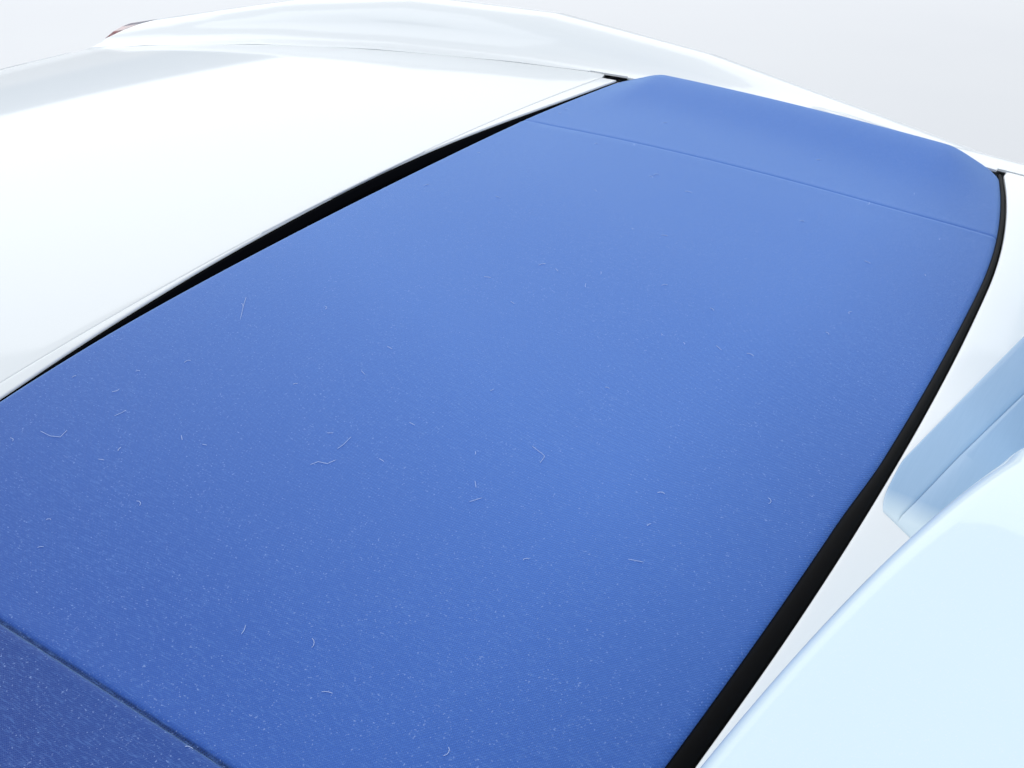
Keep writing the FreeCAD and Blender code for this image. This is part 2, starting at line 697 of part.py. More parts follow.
def make_middle_section():
    """Middle section of the roof, stowed upside down: rails, bows and cloth."""
    for side, sign in (("left", ""), ("right", "-1 * ")):
        name = "middle_rail_" + side
        body = rail_body(name, "Middle section rail, " + side, sign, "sizes.inner_lane",
                         "sizes.knee_x", "sizes.fold_x + 10", "475", "493")
        lug = slot_sketch_box(body, name + "_lug", "XZ_Plane",
                              (None, None, lane_offset(sign, "sizes.inner_lane")),
                              "sizes.fold_x - 10", "sizes.fold_x + 10", "sizes.fold_z", "480")
        pad(body, lug, "sizes.rail_wide", name + "_lug_plate", both=True)
        add_eye(body, name, sign, "sizes.inner_lane", "sizes.knee_x", "sizes.knee_z", "knee_eye")
        add_eye(body, name, sign, "sizes.inner_lane", "sizes.fold_x", "sizes.fold_z", "fold_eye")
        add_bore(body, name, sign, "sizes.inner_lane", "sizes.knee_x", "sizes.knee_z", "knee_bore")
        add_bore(body, name, sign, "sizes.inner_lane", "sizes.fold_x", "sizes.fold_z", "fold_bore")
    bows = new_body("middle_bows")
    plan = slot_sketch_box(bows, "middle_bows_plan", "XY_Plane", (None, None, "475"),
                           "-575", "-205", "-1 * sizes.inner_lane + sizes.rail_wide / 2",
                           "sizes.inner_lane - sizes.rail_wide / 2")
    pad(bows, plan, "14", "middle_bows_plate")
    bays = new_sketch(bows, "middle_bays", "XY_Plane", (None, None, "500"))
    box_loop(bays, "-545", "-410", "-515", "515", "a")
    box_loop(bays, "-380", "-235", "-515", "515", "b")
    DOC.recompute()
    pocket(bows, bays, "middle_bays_cut")
    keep(bows, "middle_bows", "Middle section bows")
    cloth = new_body("middle_cloth")
    plan = slot_sketch_box(cloth, "middle_cloth_plan", "XY_Plane", (None, None, "471"),
                           "-575", "-196", "-575", "575")
    pad(cloth, plan, "sizes.cloth", "middle_cloth_sheet")
    keep(cloth, "middle_cloth", "Middle section cloth")


def make_bearings():
    """Brackets in the well that carry the base hinge."""
    for side, sign in (("left", ""), ("right", "-1 * ")):
        name = "roof_bearing_" + side
        body = new_body(name)
        made = slot_sketch_box(body, name + "_side", "XZ_Plane",
                               (None, None, lane_offset(sign, "sizes.base_lane")),
                               "sizes.base_x - 16", "sizes.base_x + 30",
                               "sizes.well_floor + sizes.sheet_wall", "sizes.base_z")
        pad(body, made, "sizes.rail_wide", name + "_plate", both=True)
        add_eye(body, name, sign, "sizes.base_lane", "sizes.base_x", "sizes.base_z")
        add_pin(body, name, sign, "sizes.base_lane", "sizes.base_x", "sizes.base_z",
                "sizes.outer_lane")
        keep(body, name, "Roof bearing, " + side)


def make_carcass():
    """Cross member, bulkhead, roof well and boot tub."""
    member = new_body("cross_member")
    end = slot_sketch_box(member, "member_end", "XZ_Plane", (None, None, None),
                          "-1 * sizes.member_deep / 2", "sizes.member_deep / 2", "0",
                          "sizes.member_high")
    pad(member, end, "2 * sizes.member_half", "member_block", both=True)
    inside = slot_sketch_box(member, "member_inside", "XZ_Plane", (None, None, None),
                             "-1 * sizes.member_deep / 2 + sizes.member_wall",
                             "sizes.member_deep / 2 - sizes.member_wall", "sizes.member_wall",
                             "sizes.member_high - sizes.member_wall")
    pocket(member, inside, "member_hollow", both=True)
    bolts = new_sketch(member, "member_bolts", "XY_Plane")
    for i, (sx, sy) in enumerate((("", ""), ("-1 * ", ""), ("", "-1 * "), ("-1 * ", "-1 * "))):
        hole_at(bolts, sx + "sizes.bolt_x", sy + "sizes.bolt_y", "sizes.bolt_r", "b%d" % i)
    DOC.recompute()
    pocket(member, bolts, "member_bolt_holes", "sizes.member_wall * 2", flip=True)
    keep(member, "cross_member", "Cross member")

    open_tub("roof_well", "Roof well", "sizes.well_front", "sizes.well_rear", "sizes.well_half",
             "sizes.well_floor", "sizes.well_top")
    open_tub("boot_tub", "Boot tub", "sizes.tub_front", "sizes.tub_rear", "sizes.tub_half",
             "sizes.tub_floor", "sizes.tub_top")


def open_tub(name, label, front, rear, half, floor, top):
    """Sheet tray open at the top."""
    body = new_body(name)
    plan = slot_sketch_box(body, name + "_plan", "XY_Plane", (None, None, floor),
                           rear, front, "-1 * " + half, half)
    pad(body, plan, "%s - %s" % (top, floor), name + "_block")
    round_edges(body, "30", name + "_rounds", is_upright)
    inner = new_sketch(body, name + "_inside", "XY_Plane", (None, None, top))
    box_loop(inner, rear + " + sizes.sheet_wall", front + " - sizes.sheet_wall",
             "-1 * %s + sizes.sheet_wall" % half, "%s - sizes.sheet_wall" % half)
    DOC.recompute()
    pocket(body, inner, name + "_hollow", "%s - %s - sizes.sheet_wall" % (top, floor))
    return keep(body, name, label)


# Lofted body sides

def arc_mid(start, tangent, end):
    """Middle point of the arc that leaves start along a tangent and ends at end."""
    chord = end.sub(start)
    length = chord.Length
    along = chord.multiply(1.0 / length)
    side = tangent.sub(V(along).multiply(tangent.dot(along)))
    if side.Length < 1e-9:
        side = V(-along.y, along.x, 0)
        rise = 1e-4
    else:
        angle = math.acos(max(-1.0, min(1.0, tangent.dot(along))))
        rise = length / 2 * math.tan(angle / 2)
    side.normalize()
    return start.add(end).multiply(0.5).add(side.multiply(rise))


def arc_end_tangent(start, tangent, end):
    """Tangent with which that arc arrives."""
    chord = end.sub(start)
    chord.normalize()
    return V(chord).multiply(2 * chord.dot(tangent)).sub(tangent)


def biarc_joint(p0, t0, p1, t1):
    """Point where two arcs meet smoothly between two points with given tangents."""
    v = p1.sub(p0)
    t = t0.add(t1)
    rest = 2 * (1 - t0.dot(t1))
    if rest < 1e-6:
        d = v.dot(v) / (4 * v.dot(t0))
    else:
        d = (-v.dot(t) + math.sqrt(v.dot(t) ** 2 + rest * v.dot(v))) / rest
    return p0.add(p1).add(t0.sub(t1).multiply(d)).multiply(0.5)


def wing_chain(section, depth):
    """Arcs of a wing section, offset inwards by depth: lists of points and mid points."""
    x, crest_z, y_crest, y_flank = section
    y_deck = (y_crest - 200.0, y_crest - 95.0)
    start = V(y_deck[0], deck_height(x, y_deck[0]), 0)
    valley = V(y_deck[1], deck_height(x, y_deck[1]), 0)
    slope = V(105.0, valley.y - start.y + 0.5, 0)
    slope.normalize()
    crest = V(y_crest, crest_z, 0)
    level = V(1, 0, 0)
    t_valley = arc_end_tangent(start, slope, valley)
    joint = biarc_joint(valley, t_valley, crest, level)
    shoulder = V(y_flank, crest_z - 74.0, 0)
    bottom = V(y_flank + 5.0, 0, 0)
    points = [start, valley, joint, crest, shoulder, bottom]
    tangents = [slope]
    for i in range(5):
        tangents.append(arc_end_tangent(points[i], tangents[i], points[i + 1]))
    mids = [arc_mid(points[i], tangents[i], points[i + 1]) for i in range(5)]
    mid_tangents = [points[i + 1].sub(points[i]) for i in range(5)]

    def moved(point, tangent):
        unit = V(tangent)
        unit.normalize()
        return V(point.x + unit.y * depth, point.y - unit.x * depth, 0)

    return ([moved(p, t) for p, t in zip(points, tangents)],
            [moved(p, t) for p, t in zip(mids, mid_tangents)])


def at_station(x, point):
    return V(x, point.x, point.y)


def wing_outline(section, depth):
    """Points of a wing section at a depth: each arc as a few chords."""
    points, mids = wing_chain(section, depth)
    outline = [points[0]]
    for start, mid, end, count in zip(points, mids, points[1:], WING_CHORDS):
        outline += Part.Arc(start, mid, end).toShape().discretize(count + 1)[1:]
    return [at_station(section[0], point) for point in outline]


def wing_wire(section, outer, inner):
    """Closed section of the wing between two depths."""
    outline = wing_outline(section, outer) + wing_outline(section, inner)[::-1]
    return Part.makePolygon(outline + outline[:1])


def volume_wire(section, depth):
    """Closed section of everything inside the wing skin at a depth."""
    outline = wing_outline(section, depth)
    low = -10.0
    outline += [V(section[0], outline[-1].y, low), V(section[0], outline[0].y, low)]
    return Part.makePolygon(outline + outline[:1])


def between(rows, x):
    """Row of a section table at any station, by a smooth curve through the rows."""
    result = [x]
    for column in range(1, len(rows[0])):
        total = 0.0
        for i, row in enumerate(rows):
            term = row[column]
            for j, other in enumerate(rows):
                if j != i:
                    term *= (x - other[0]) / (row[0] - other[0])
            total += term
        result.append(total)
    return tuple(result)


def stations(rows, count):
    """Evenly spaced rows between the first and the last of a section table."""
    first, last = rows[0][0], rows[-1][0]
    return [between(rows, first + (last - first) * i / (count - 1)) for i in range(count)]


def wing_shell(outer, inner):
    rows = stations(WING_SECTIONS, WING_STATIONS)
    return Part.makeLoft([wing_wire(row, outer, inner) for row in rows], True, True)


def wing_volume(depth):
    rows = stations(WING_SECTIONS, WING_STATIONS)
    return Part.makeLoft([volume_wire(row, depth) for row in rows], True, True)


def plan_prism(points, low, high):
    """Upright prism over a plan polygon."""
    corners = [V(x, y, low) for x, y in points]
    face = Part.Face(Part.makePolygon(corners + corners[:1]))
    return face.extrude(V(0, 0, high - low))


def edge_arcs(edge, z):
    """Arcs of a bowed edge at a height, from its right corner to its left one."""
    end, shoulder = edge_circles(edge)[1:]
    corner = V(edge[1], edge[2], 0)
    if shoulder is None:
        chain = [flip(corner), V(edge[0], 0, 0), corner]
    else:
        bend = on_circle(end, shoulder, corner)
        chain = [flip(corner), flip(bend), flip(shoulder), V(edge[0], 0, 0), shoulder, bend, corner]
    chain = [V(point.x, point.y, z) for point in chain]
    return [Part.Arc(*chain[i:i + 3]).toShape() for i in range(0, len(chain) - 1, 2)]


def grown(edge, x_move, y_move):
    """Numbers of an edge moved along the car, and widened."""
    row = [number(e) for e in edge]
    moved = [row[0] + x_move, row[1] + x_move, row[2] + y_move]
    if len(row) > 3:
        moved += [row[3] + x_move, row[4]]
    return moved


def bowed_prism(rear, front, grow, low, high):
    """Upright prism over a bowed outline, grown outwards."""
    rear, front = grown(rear, -grow, grow), grown(front, grow, grow)
    sides = []
    for sign in (1, -1):
        sides.append(Part.LineSegment(V(front[1], sign * front[2], low),
                                      V(rear[1], sign * rear[2], low)).toShape())
    edges = Part.__sortEdges__(edge_arcs(front, low) + edge_arcs(rear, low) + sides)
    return Part.Face(Part.Wire(edges)).extrude(V(0, 0, high - low))


def tail_cylinder(depth, low=-20.0, high=700.0):
    """Upright cylinder whose wall is the tail."""
    radius = val("tail_plan")
    centre = V(val("wing_rear") + radius, 0, low)
    return Part.makeCylinder(radius - depth, high - low, centre)


def crowned_core(depth, bottom=300.0):
    """Everything below the deck's surface at a depth, as a solid."""
    crown = val("crown_y") - depth
    axis_z = val("deck_z") - val("crown_x")
    centre_z = val("deck_z") - val("crown_y")
    half = 1000.0
    edge_z = centre_z + math.sqrt(crown ** 2 - half ** 2)
    low = bottom
    x = val("crown_at")
    a, b = V(x, -half, edge_z), V(x, half, edge_z)
    top = Part.Arc(a, V(x, 0, centre_z + crown), b).toShape()
    c, d = V(x, half, low), V(x, -half, low)
    face = Part.Face(Part.Wire([top, Part.LineSegment(b, c).toShape(), Part.LineSegment(c, d).toShape(),
                                Part.LineSegment(d, a).toShape()]))
    swing = val("slab_swing")
    turned = face.copy()
    turned.rotate(V(x, 0, axis_z), V(0, 1, 0), -swing / 2)
    return turned.revolve(V(x, 0, axis_z), V(0, 1, 0), swing)


LAMP_PLAN = [(-1615.0, 750.0), (-1735.0, 652.0), (-1850.0, 652.0), (-1850.0, 900.0), (-1645.0, 900.0)]
LAMP_MIDDLE = (-1745.0, 775.0)
LAMP_LOW = 270.0


def lamp_prism(inset_by):
    """Zone of the left tail lamp."""
    centre = V(*LAMP_MIDDLE, 0)
    points = []
    for x, y in LAMP_PLAN:
        away = V(x, y, 0).sub(centre)
        away.multiply(1 - inset_by / away.Length)
        points.append((centre.x + away.x, centre.y + away.y))
    return plan_prism(points, LAMP_LOW + inset_by, 700.0)


def arch_ring(inner, outer, y_low, y_high):
    """Ring about the wheel centre on the left side."""
    centre = V(val("arch_x"), y_low, val("arch_z"))
    return Part.makeCylinder(outer, y_high - y_low, centre, V(0, 1, 0)).cut(
        Part.makeCylinder(inner, y_high - y_low, centre, V(0, 1, 0)))


def make_wings():
    """Wings with turned arch lips and door flanges, wheel housings and tail lamps."""
    skin = val("skin")
    lip = val("arch_lip")
    radius = val("arch_r")
    shell = wing_shell(0.0, skin)
    outer = wing_volume(0.0)
    cowl_side = val("cowl_half") + val("shut")
    gap_side = val("lid_y_front") + val("shut")
    clear = bowed_prism(ROOF_REAR, ROOF_FRONT, val("roof_shut"), 300.0, 700.0)
    clear = clear.fuse(bowed_prism(LID_REAR, LID_FRONT, val("shut"), 300.0, 700.0))
    clear = clear.fuse(block(-80.0, 320.0, -cowl_side, cowl_side, 300.0, 700.0))
    clear = clear.fuse(block(val("lid_x_front"), val("roof_x_rear_end"), -gap_side, gap_side, 300.0, 700.0))
    wheel = Part.makeCylinder(radius, 400.0, V(val("arch_x"), 560.0, val("arch_z")), V(0, 1, 0))
    front = val("wing_front")
    flange = wing_shell(skin, 28.0).common(block(front - skin, front, cowl_side, 900.0, 0.0, 640.0))
    arch = arch_ring(radius, radius + lip, 845.0, 900.0).common(wing_volume(skin))
    arch = arch.common(block(-1300.0, -300.0, 590.0, 900.0, 0.0, 400.0))
    wing = shell.fuse([flange, arch]).cut(clear).cut(wheel)
    wing = wing.common(tail_cylinder(skin + 0.3)).cut(lamp_prism(0.0))
    wing = biggest(wing)
    shape_node("rear_wing_left", "Rear wing, left", wing)
    shape_node("rear_wing_right", "Rear wing, right", mirrored(wing))

    zone = lamp_prism(1.0)
    top_lens = shell.common(zone).common(tail_cylinder(0.0))
    rear_lens = zone.common(tail_cylinder(0.0)).cut(tail_cylinder(skin)).common(outer)
    lamp = biggest(top_lens.fuse(rear_lens))
    shape_node("tail_lamps", "Tail lamps", Part.makeCompound([lamp, mirrored(lamp)]))

    housing = arch_ring(radius + lip, radius + lip + skin, 600.0, 872.0)
    housing = housing.common(block(-1300.0, -300.0, 590.0, 900.0, 0.0, 400.0))
    housing = biggest(housing.common(wing_volume(skin + 0.3)))
    shape_node("wheel_housing_left", "Wheel housing, left", housing)
    shape_node("wheel_housing_right", "Wheel housing, right", mirrored(housing))
    return outer


def make_tail(wing_outer):
    """Tail panel with the recess for a blank plate."""
    skin = val("skin")
    middle = crowned_core(0.0, -10.0).common(block(-1900.0, -1500.0, -600.0, 600.0, -20.0, 700.0))
    whole = middle.fuse([wing_outer, mirrored(wing_outer)])
    tail = tail_cylinder(0.0).cut(tail_cylinder(skin)).common(whole)
    tail = tail.cut(bowed_prism(LID_REAR, LID_FRONT, val("shut"), 360.0, 700.0))
    tail = tail.cut(lamp_prism(0.0)).cut(mirrored(lamp_prism(0.0)))
    tail = tail.common(block(-1900.0, -1500.0, -900.0, 900.0, 0.0, 700.0))
    half, low, high, deep = val("plate_half"), val("plate_low"), val("plate_high"), val("plate_deep")
    rear = val("wing_rear")
    tray = block(rear, rear + deep + skin, -half - skin, half + skin, low - skin, high + skin)
    hollow = block(rear - 10.0, rear + deep, -half, half, low, high)
    tail = biggest(tail).fuse(tray.common(tail_cylinder(0.0))).cut(hollow)
    shape_node("tail_panel", "Tail panel", biggest(tail))


def make_beams():
    """Hollow side beams and the ribs that carry the wings."""
    half, low, high, wall = val("well_half"), val("beam_low"), val("beam_high"), val("sheet_wall")
    beam = block(-1690.0, 16.0, half, half + 40.0, low, high)
    beam = beam.cut(block(-1700.0, 20.0, half + wall, half + 40.0 - wall, low + wall, high - wall))
    shape_node("side_beam_left", "Side beam, left", beam)
    shape_node("side_beam_right", "Side beam, right", mirrored(beam))
    inner = wing_volume(val("skin") + 0.3)
    wheel = Part.makeCylinder(val("arch_r") + 12.0, 400.0, V(val("arch_x"), 560.0, val("arch_z")),
                              V(0, 1, 0))
    lids = block(-1900.0, 300.0, 560.0, 722.0, 200.0, 700.0).cut(crowned_core(40.0, 150.0))
    ribs = []
    for x in (-60.0, -440.0, -1000.0, -1330.0, -1600.0):
        rib = block(x, x + 4.0, half + 40.0, 890.0, low, 640.0).common(inner).cut(lids).cut(wheel)
        ribs.append(biggest(rib))
    ribs = Part.makeCompound(ribs)
    shape_node("wing_ribs_left", "Wing ribs, left", ribs)
    shape_node("wing_ribs_right", "Wing ribs, right", mirrored(ribs))


def biggest(shape):
    """Largest solid of a result, without offcuts."""
    return max(shape.Solids, key=lambda solid: solid.Volume)


def make_boot_lid():
    """Boot lid skin, inner frame and hinge arms, with the fixed hinge brackets."""
    crowned_panel("lid_skin", "Boot lid skin", "0", "sizes.skin", LID_REAR, LID_FRONT, "sizes.lid_corner")
    frame = crowned_panel("lid_frame", "Boot lid inner frame", "sizes.skin", "15",
                          inset(LID_REAR, "26", 1), inset(LID_FRONT, "26", -1), "sizes.lid_corner - 10")
    bays = new_sketch(frame, "lid_bays", "XY_Plane")
    for row in range(4):
        for column in range(-2, 3):
            low = "sizes.bay_start + %d * sizes.bay_pitch" % row
            left = "%d * sizes.bay_pitch - sizes.bay_size / 2" % column
            box_loop(bays, low, low + " + sizes.bay_size", left, left + " + sizes.bay_size",
                     "b%d%d" % (row, column + 2))
    DOC.recompute()
    pocket(frame, bays, "lid_bays_cut", both=True)
    lane, wide = val("lid_lane"), val("lid_arm_wide")
    x, z = val("lid_hinge_x"), val("lid_hinge_z")
    pin, play = val("pin_r"), val("pin_play")
    boss = 9.0
    profile = [(x + 4, z - boss), (x + 4, z + boss), (x - 26, z + 50), (x - 96, z + 50),
               (x - 96, z - 4), (x - 40, z - boss)]
    corners = [V(px, lane - wide / 2, pz) for px, pz in profile]
    arm = Part.Face(Part.makePolygon(corners + corners[:1])).extrude(V(0, wide, 0))
    arm = arm.common(crowned_core(val("skin")))
    arm = arm.fuse(Part.makeCylinder(boss, wide, V(x, lane - wide / 2, z), V(0, 1, 0)))
    arm = arm.cut(block(x - 22, x + 40, lane - 9, lane + 9, z + boss + 3, z + 60))
    arm = arm.cut(Part.makeCylinder(pin + play, wide + 2, V(x, lane - wide / 2 - 1, z), V(0, 1, 0)))
    arm = arm.removeSplitter()
    shape_node("lid_arm_left", "Boot lid hinge arm, left", arm)
    shape_node("lid_arm_right", "Boot lid hinge arm, right", mirrored(arm))
    inner = lane - wide / 2 - 3
    foot = val("well_half") + 40.0
    high = val("beam_high")
    bracket = block(x - 10, x + 14, inner - 5, inner, high - 30.0, z)
    bracket = bracket.fuse(Part.makeCylinder(boss, 5.0, V(x, inner - 5, z), V(0, 1, 0)))
    bracket = bracket.fuse(block(x - 10, x + 14, foot, inner, high - 30.0, high - 4.0))
    bracket = bracket.fuse(Part.makeCylinder(pin, wide + 4, V(x, inner - 0.5, z), V(0, 1, 0)))
    bracket = bracket.removeSplitter()
    shape_node("lid_bracket_left", "Boot lid hinge bracket, left", bracket)
    shape_node("lid_bracket_right", "Boot lid hinge bracket, right", mirrored(bracket))


def make_gutter():
    """Gutter round the boot opening, its rubber seal and the divider behind the roof well."""
    rim, wall = val("lid_rim"), val("sheet_wall")
    drop, top = val("gutter_drop"), val("tub_top")
    low = top
    ring = bowed_prism(LID_REAR, LID_FRONT, -rim, low, 640.0)
    ring = ring.cut(bowed_prism(LID_REAR, LID_FRONT, -rim - wall, low - 1.0, 650.0))
    ring = ring.common(crowned_core(drop, 200.0))
    floor = bowed_prism(LID_REAR, LID_FRONT, -rim, low, low + wall)
    mouth = block(val("tub_rear") + wall, val("tub_front") - wall, -val("tub_half") + wall,
                  val("tub_half") - wall, low - 1.0, low + wall + 1.0)
    gutter = ring.fuse(floor.cut(mouth)).removeSplitter()
    shape_node("boot_gutter", "Boot gutter", biggest(gutter))
    seal = bowed_prism(LID_REAR, LID_FRONT, -rim + 3.0, low, 640.0)
    seal = seal.cut(bowed_prism(LID_REAR, LID_FRONT, -rim - 7.0, low - 1.0, 650.0))
    seal = seal.common(crowned_core(val("lid_deep") + 0.3, 200.0)).cut(crowned_core(drop - 0.3, 200.0))
    shape_node("boot_seal", "Boot seal", biggest(seal))
    half = val("well_half") + 40.0
    panel = block(-655.0 - wall, -655.0, -half, half, low, 640.0).common(crowned_core(drop + 3.0, 200.0))
    channel = bowed_prism(("-692", "-662", "646"), ("-652", "-640", "646"), 0.0, 300.0, 640.0)
    channel = channel.common(crowned_core(drop, 200.0)).cut(crowned_core(drop + 3.0, 200.0))
    divider = panel.fuse(channel).removeSplitter()
    shape_node("rear_divider", "Divider behind the roof well", biggest(divider))


# The left hoop fairing: its rear face is set back at the outer side, so its axis is toed out.
FAIRING_REAR = 46.0
FAIRING_FRONT = 240.0
FAIRING_CENTRE = 330.0
FAIRING_TOE = 7.0
FAIRING_HALF = 240.0
FAIRING_HIGH = 134.0
FAIRING_LEAN = 26.0
FAIRING_SHOULDER = 78.0
FAIRING_SUNK = 40.0


def fairing_wire(x, depth):
    """Section of a hoop fairing: leaning sides, round shoulders and a low crown, offset by depth."""
    ground = deck_height(FAIRING_REAR, FAIRING_CENTRE)
    waist = FAIRING_HALF - FAIRING_LEAN - depth
    side, top = ground + FAIRING_HIGH - FAIRING_SHOULDER, ground + FAIRING_HIGH - depth
    foot = V(depth - FAIRING_HALF, ground - FAIRING_SUNK, 0)
    start = V(-waist, side, 0)
    knee = V(FAIRING_SHOULDER + depth - waist, top, 0)
    leaning = start.sub(foot)
    leaning.normalize()
    first = arc_mid(start, leaning, knee)
    crown = arc_mid(knee, arc_end_tangent(start, leaning, knee), V(-knee.x, top, 0))

    def across(point, sign=1):
        return V(x, FAIRING_CENTRE + sign * point.x, point.y)

    return Part.Wire([
        Part.LineSegment(across(foot), across(start)).toShape(),
        Part.Arc(across(start), across(first), across(knee)).toShape(),
        Part.Arc(across(knee), across(crown), across(knee, -1)).toShape(),
        Part.Arc(across(knee, -1), across(first, -1), across(start, -1)).toShape(),
        Part.LineSegment(across(start, -1), across(foot, -1)).toShape(),
        Part.LineSegment(across(foot, -1), across(foot)).toShape()])


# Rounding of the fairing's rear rim: (how far ahead of the rear face, how far in), in radii.
RIM_STEPS = [(0.0, 1.0), (0.134, 0.5), (0.5, 0.134), (1.0, 0.0)]


def fairing_solid(depth, front=FAIRING_FRONT):
    """Whole hoop fairing at a depth, its rear rim rounded and its axis toed out."""
    rear = FAIRING_REAR + depth
    radius = val("hoop_round") - depth
    wires = [fairing_wire(rear + radius * ahead_by, depth + radius * inwards) for ahead_by, inwards in RIM_STEPS]
    wires.append(fairing_wire(rear + front, depth))
    solid = Part.makeLoft(wires, True, True)
    solid.rotate(V(FAIRING_REAR, FAIRING_CENTRE, 0), V(0, 0, 1), FAIRING_TOE)
    return solid.common(block(-100.0, front, 0.0, 700.0, 400.0, 900.0))


COWL_REAR = ahead(ROOF_FRONT, "sizes.seal_wide + sizes.cowl_gap", "sizes.seal_wide_end + sizes.cowl_gap")
COWL_REAR = COWL_REAR[:2] + ("sizes.cowl_half",) + COWL_REAR[3:]


def make_cowl():
    """Bulkhead, cowl, hoop fairings, centre strip and cabin trim."""
    crowned_panel("front_cowl", "Front cowl", "0", "sizes.skin",
                  COWL_REAR, ("sizes.cowl_front", "sizes.cowl_front_end", "sizes.cowl_half"))
    wall = val("hoop_wall")
    outer = fairing_solid(0.0)
    inner = fairing_solid(wall, FAIRING_FRONT + 6.0)
    fairing = biggest(outer.cut(inner).cut(crowned_core(-0.3)))
    shape_node("fairing_left", "Hoop fairing, left", fairing)
    shape_node("fairing_right", "Hoop fairing, right", mirrored(fairing))
    half = [(7.0, 19.0), (44.0, 300.0), (60.0, 300.0), (110.0, 60.0), (240.0, 60.0)]
    zone = plan_prism(half + [(x, -y) for x, y in reversed(half)], 500.0, 700.0)
    grown_fairing = fairing_solid(-1.0)
    zone = zone.cut(grown_fairing).cut(mirrored(grown_fairing))
    strip = crowned_core(-2.3).cut(crowned_core(-0.3)).common(zone)
    shape_node("centre_strip", "Centre strip", biggest(strip))
    plate = block(16.0, 19.0, -640.0, 640.0, val("member_high"), 600.0).common(crowned_core(3.0, 0.0))
    flange = block(16.0, 35.0, -620.0, 620.0, val("member_high"), val("member_high") + 3.0)
    shape_node("bulkhead", "Bulkhead", plate.fuse(flange).removeSplitter())
    trim = block(233.0, 236.0, -640.0, 640.0, 260.0, 600.0).common(crowned_core(3.0, 0.0))
    shelf = block(19.0, 233.0, -640.0, 640.0, 260.0, 263.0)
    shape_node("cabin_trim", "Cabin rear trim", trim.fuse(shelf).removeSplitter())


def write_parts():
    """Check every object, then write one STEP file for each sub-part."""
    DOC.recompute()
    for obj in DOC.Objects:
        if "Invalid" in obj.State or "Error" in obj.State:
            raise RuntimeError("object %s is %s" % (obj.Name, obj.State))
    os.makedirs("parts", exist_ok=True)
    for name, obj in PARTS:
        shape = obj.Shape
        if shape.isNull() or not shape.isValid():
            raise RuntimeError("bad shape: " + name)
        shape.exportStep(os.path.join("parts", name + ".step"))
        box = shape.BoundBox
        print("%-20s solids %d  x %.0f..%.0f  y %.0f..%.0f  z %.0f..%.0f" % (
            name, len(shape.Solids), box.XMin, box.XMax, box.YMin, box.YMax, box.ZMin, box.ZMax))


make_roof_panel()
make_rear_section()
make_middle_section()
make_bearings()
make_carcass()
make_boot_lid()
make_gutter()
make_cowl()
make_tail(make_wings())
make_beams()
write_parts()
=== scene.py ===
"""Looks of the rear deck of an open two-seat car, with its cloth roof stowed flush behind the seats.

Metres. +X towards the front of the car, +Y to its left side, +Z up.
"""
import json
import math
import random

import bmesh
import bpy
import numpy as np
from mathutils import Matrix, Vector, kdtree


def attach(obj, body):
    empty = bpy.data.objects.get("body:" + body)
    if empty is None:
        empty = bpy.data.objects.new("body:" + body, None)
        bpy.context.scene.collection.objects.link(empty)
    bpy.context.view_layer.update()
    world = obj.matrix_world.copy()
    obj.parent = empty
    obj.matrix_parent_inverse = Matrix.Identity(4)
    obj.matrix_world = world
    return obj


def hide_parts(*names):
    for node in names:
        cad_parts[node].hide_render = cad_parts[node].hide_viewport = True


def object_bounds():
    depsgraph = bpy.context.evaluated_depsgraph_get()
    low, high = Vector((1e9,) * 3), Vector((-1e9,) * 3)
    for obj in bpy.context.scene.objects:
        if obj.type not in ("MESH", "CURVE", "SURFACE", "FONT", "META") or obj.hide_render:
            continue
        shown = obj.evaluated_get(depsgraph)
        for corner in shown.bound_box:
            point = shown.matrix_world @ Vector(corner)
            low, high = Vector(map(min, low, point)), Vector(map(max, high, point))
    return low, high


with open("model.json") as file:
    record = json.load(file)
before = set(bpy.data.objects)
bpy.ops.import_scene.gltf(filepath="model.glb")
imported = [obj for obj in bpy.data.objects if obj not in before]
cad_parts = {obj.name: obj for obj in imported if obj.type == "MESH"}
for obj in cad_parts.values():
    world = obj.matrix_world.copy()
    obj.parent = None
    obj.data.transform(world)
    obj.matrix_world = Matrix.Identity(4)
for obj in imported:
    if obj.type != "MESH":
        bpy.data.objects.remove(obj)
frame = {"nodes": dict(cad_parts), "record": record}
NODES = frame["nodes"]
CAD_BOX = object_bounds()

# The deck's double crown, shared by the roof, the boot lid and the cowl.
DECK_TOP = 0.560
CROWN_ACROSS = 11.0
CROWN_ALONG = 6.5
CROWN_STATION = -0.350

# Edges in plan: (x on the centre line, x at the corner, half width), then (x, y) of the shoulder
# where a flatter middle ends, if the edge has one.
ROOF_FRONT = (0.0, -0.070, 0.655, -0.010, 0.330)
ROOF_REAR = (-0.648, -0.606, 0.704)
ROOF_CORNER = 0.042
SEAM_Y = 0.462

# The photograph's camera.
PHOTO_WIDE, PHOTO_HIGH = 1024, 768
FOCAL_PIXELS = 1141.0
CAMERA_PLACE = Vector((0.136, -0.716, 1.090))
CAMERA_TURN = math.radians(33.4)
CAMERA_DROP = math.radians(34.3)

# Points along an outline's front or rear, round a corner and over a rolled edge.
OUTLINE_STEPS = 260
CORNER_STEPS = 16
ROLL_STEPS = 8
# The share of a panel's width in which its grid has the wanted columns.
EVEN_SHARE = 0.86


def deck_height(x, y):
    """Height of the deck's top, for numbers or arrays."""
    across = np.sqrt(CROWN_ACROSS ** 2 - np.square(y)) - CROWN_ACROSS
    radius = CROWN_ALONG + across
    return DECK_TOP + np.sqrt(np.square(radius) - np.square(x - CROWN_STATION)) - CROWN_ALONG


def camera_axes():
    """Forward, right and up of the photograph's camera."""
    turn, drop = CAMERA_TURN, CAMERA_DROP
    forward = Vector((-math.sin(turn) * math.cos(drop), math.cos(turn) * math.cos(drop), -math.sin(drop)))
    right = Vector((math.cos(turn), math.sin(turn), 0.0))
    return forward, right, right.cross(forward)


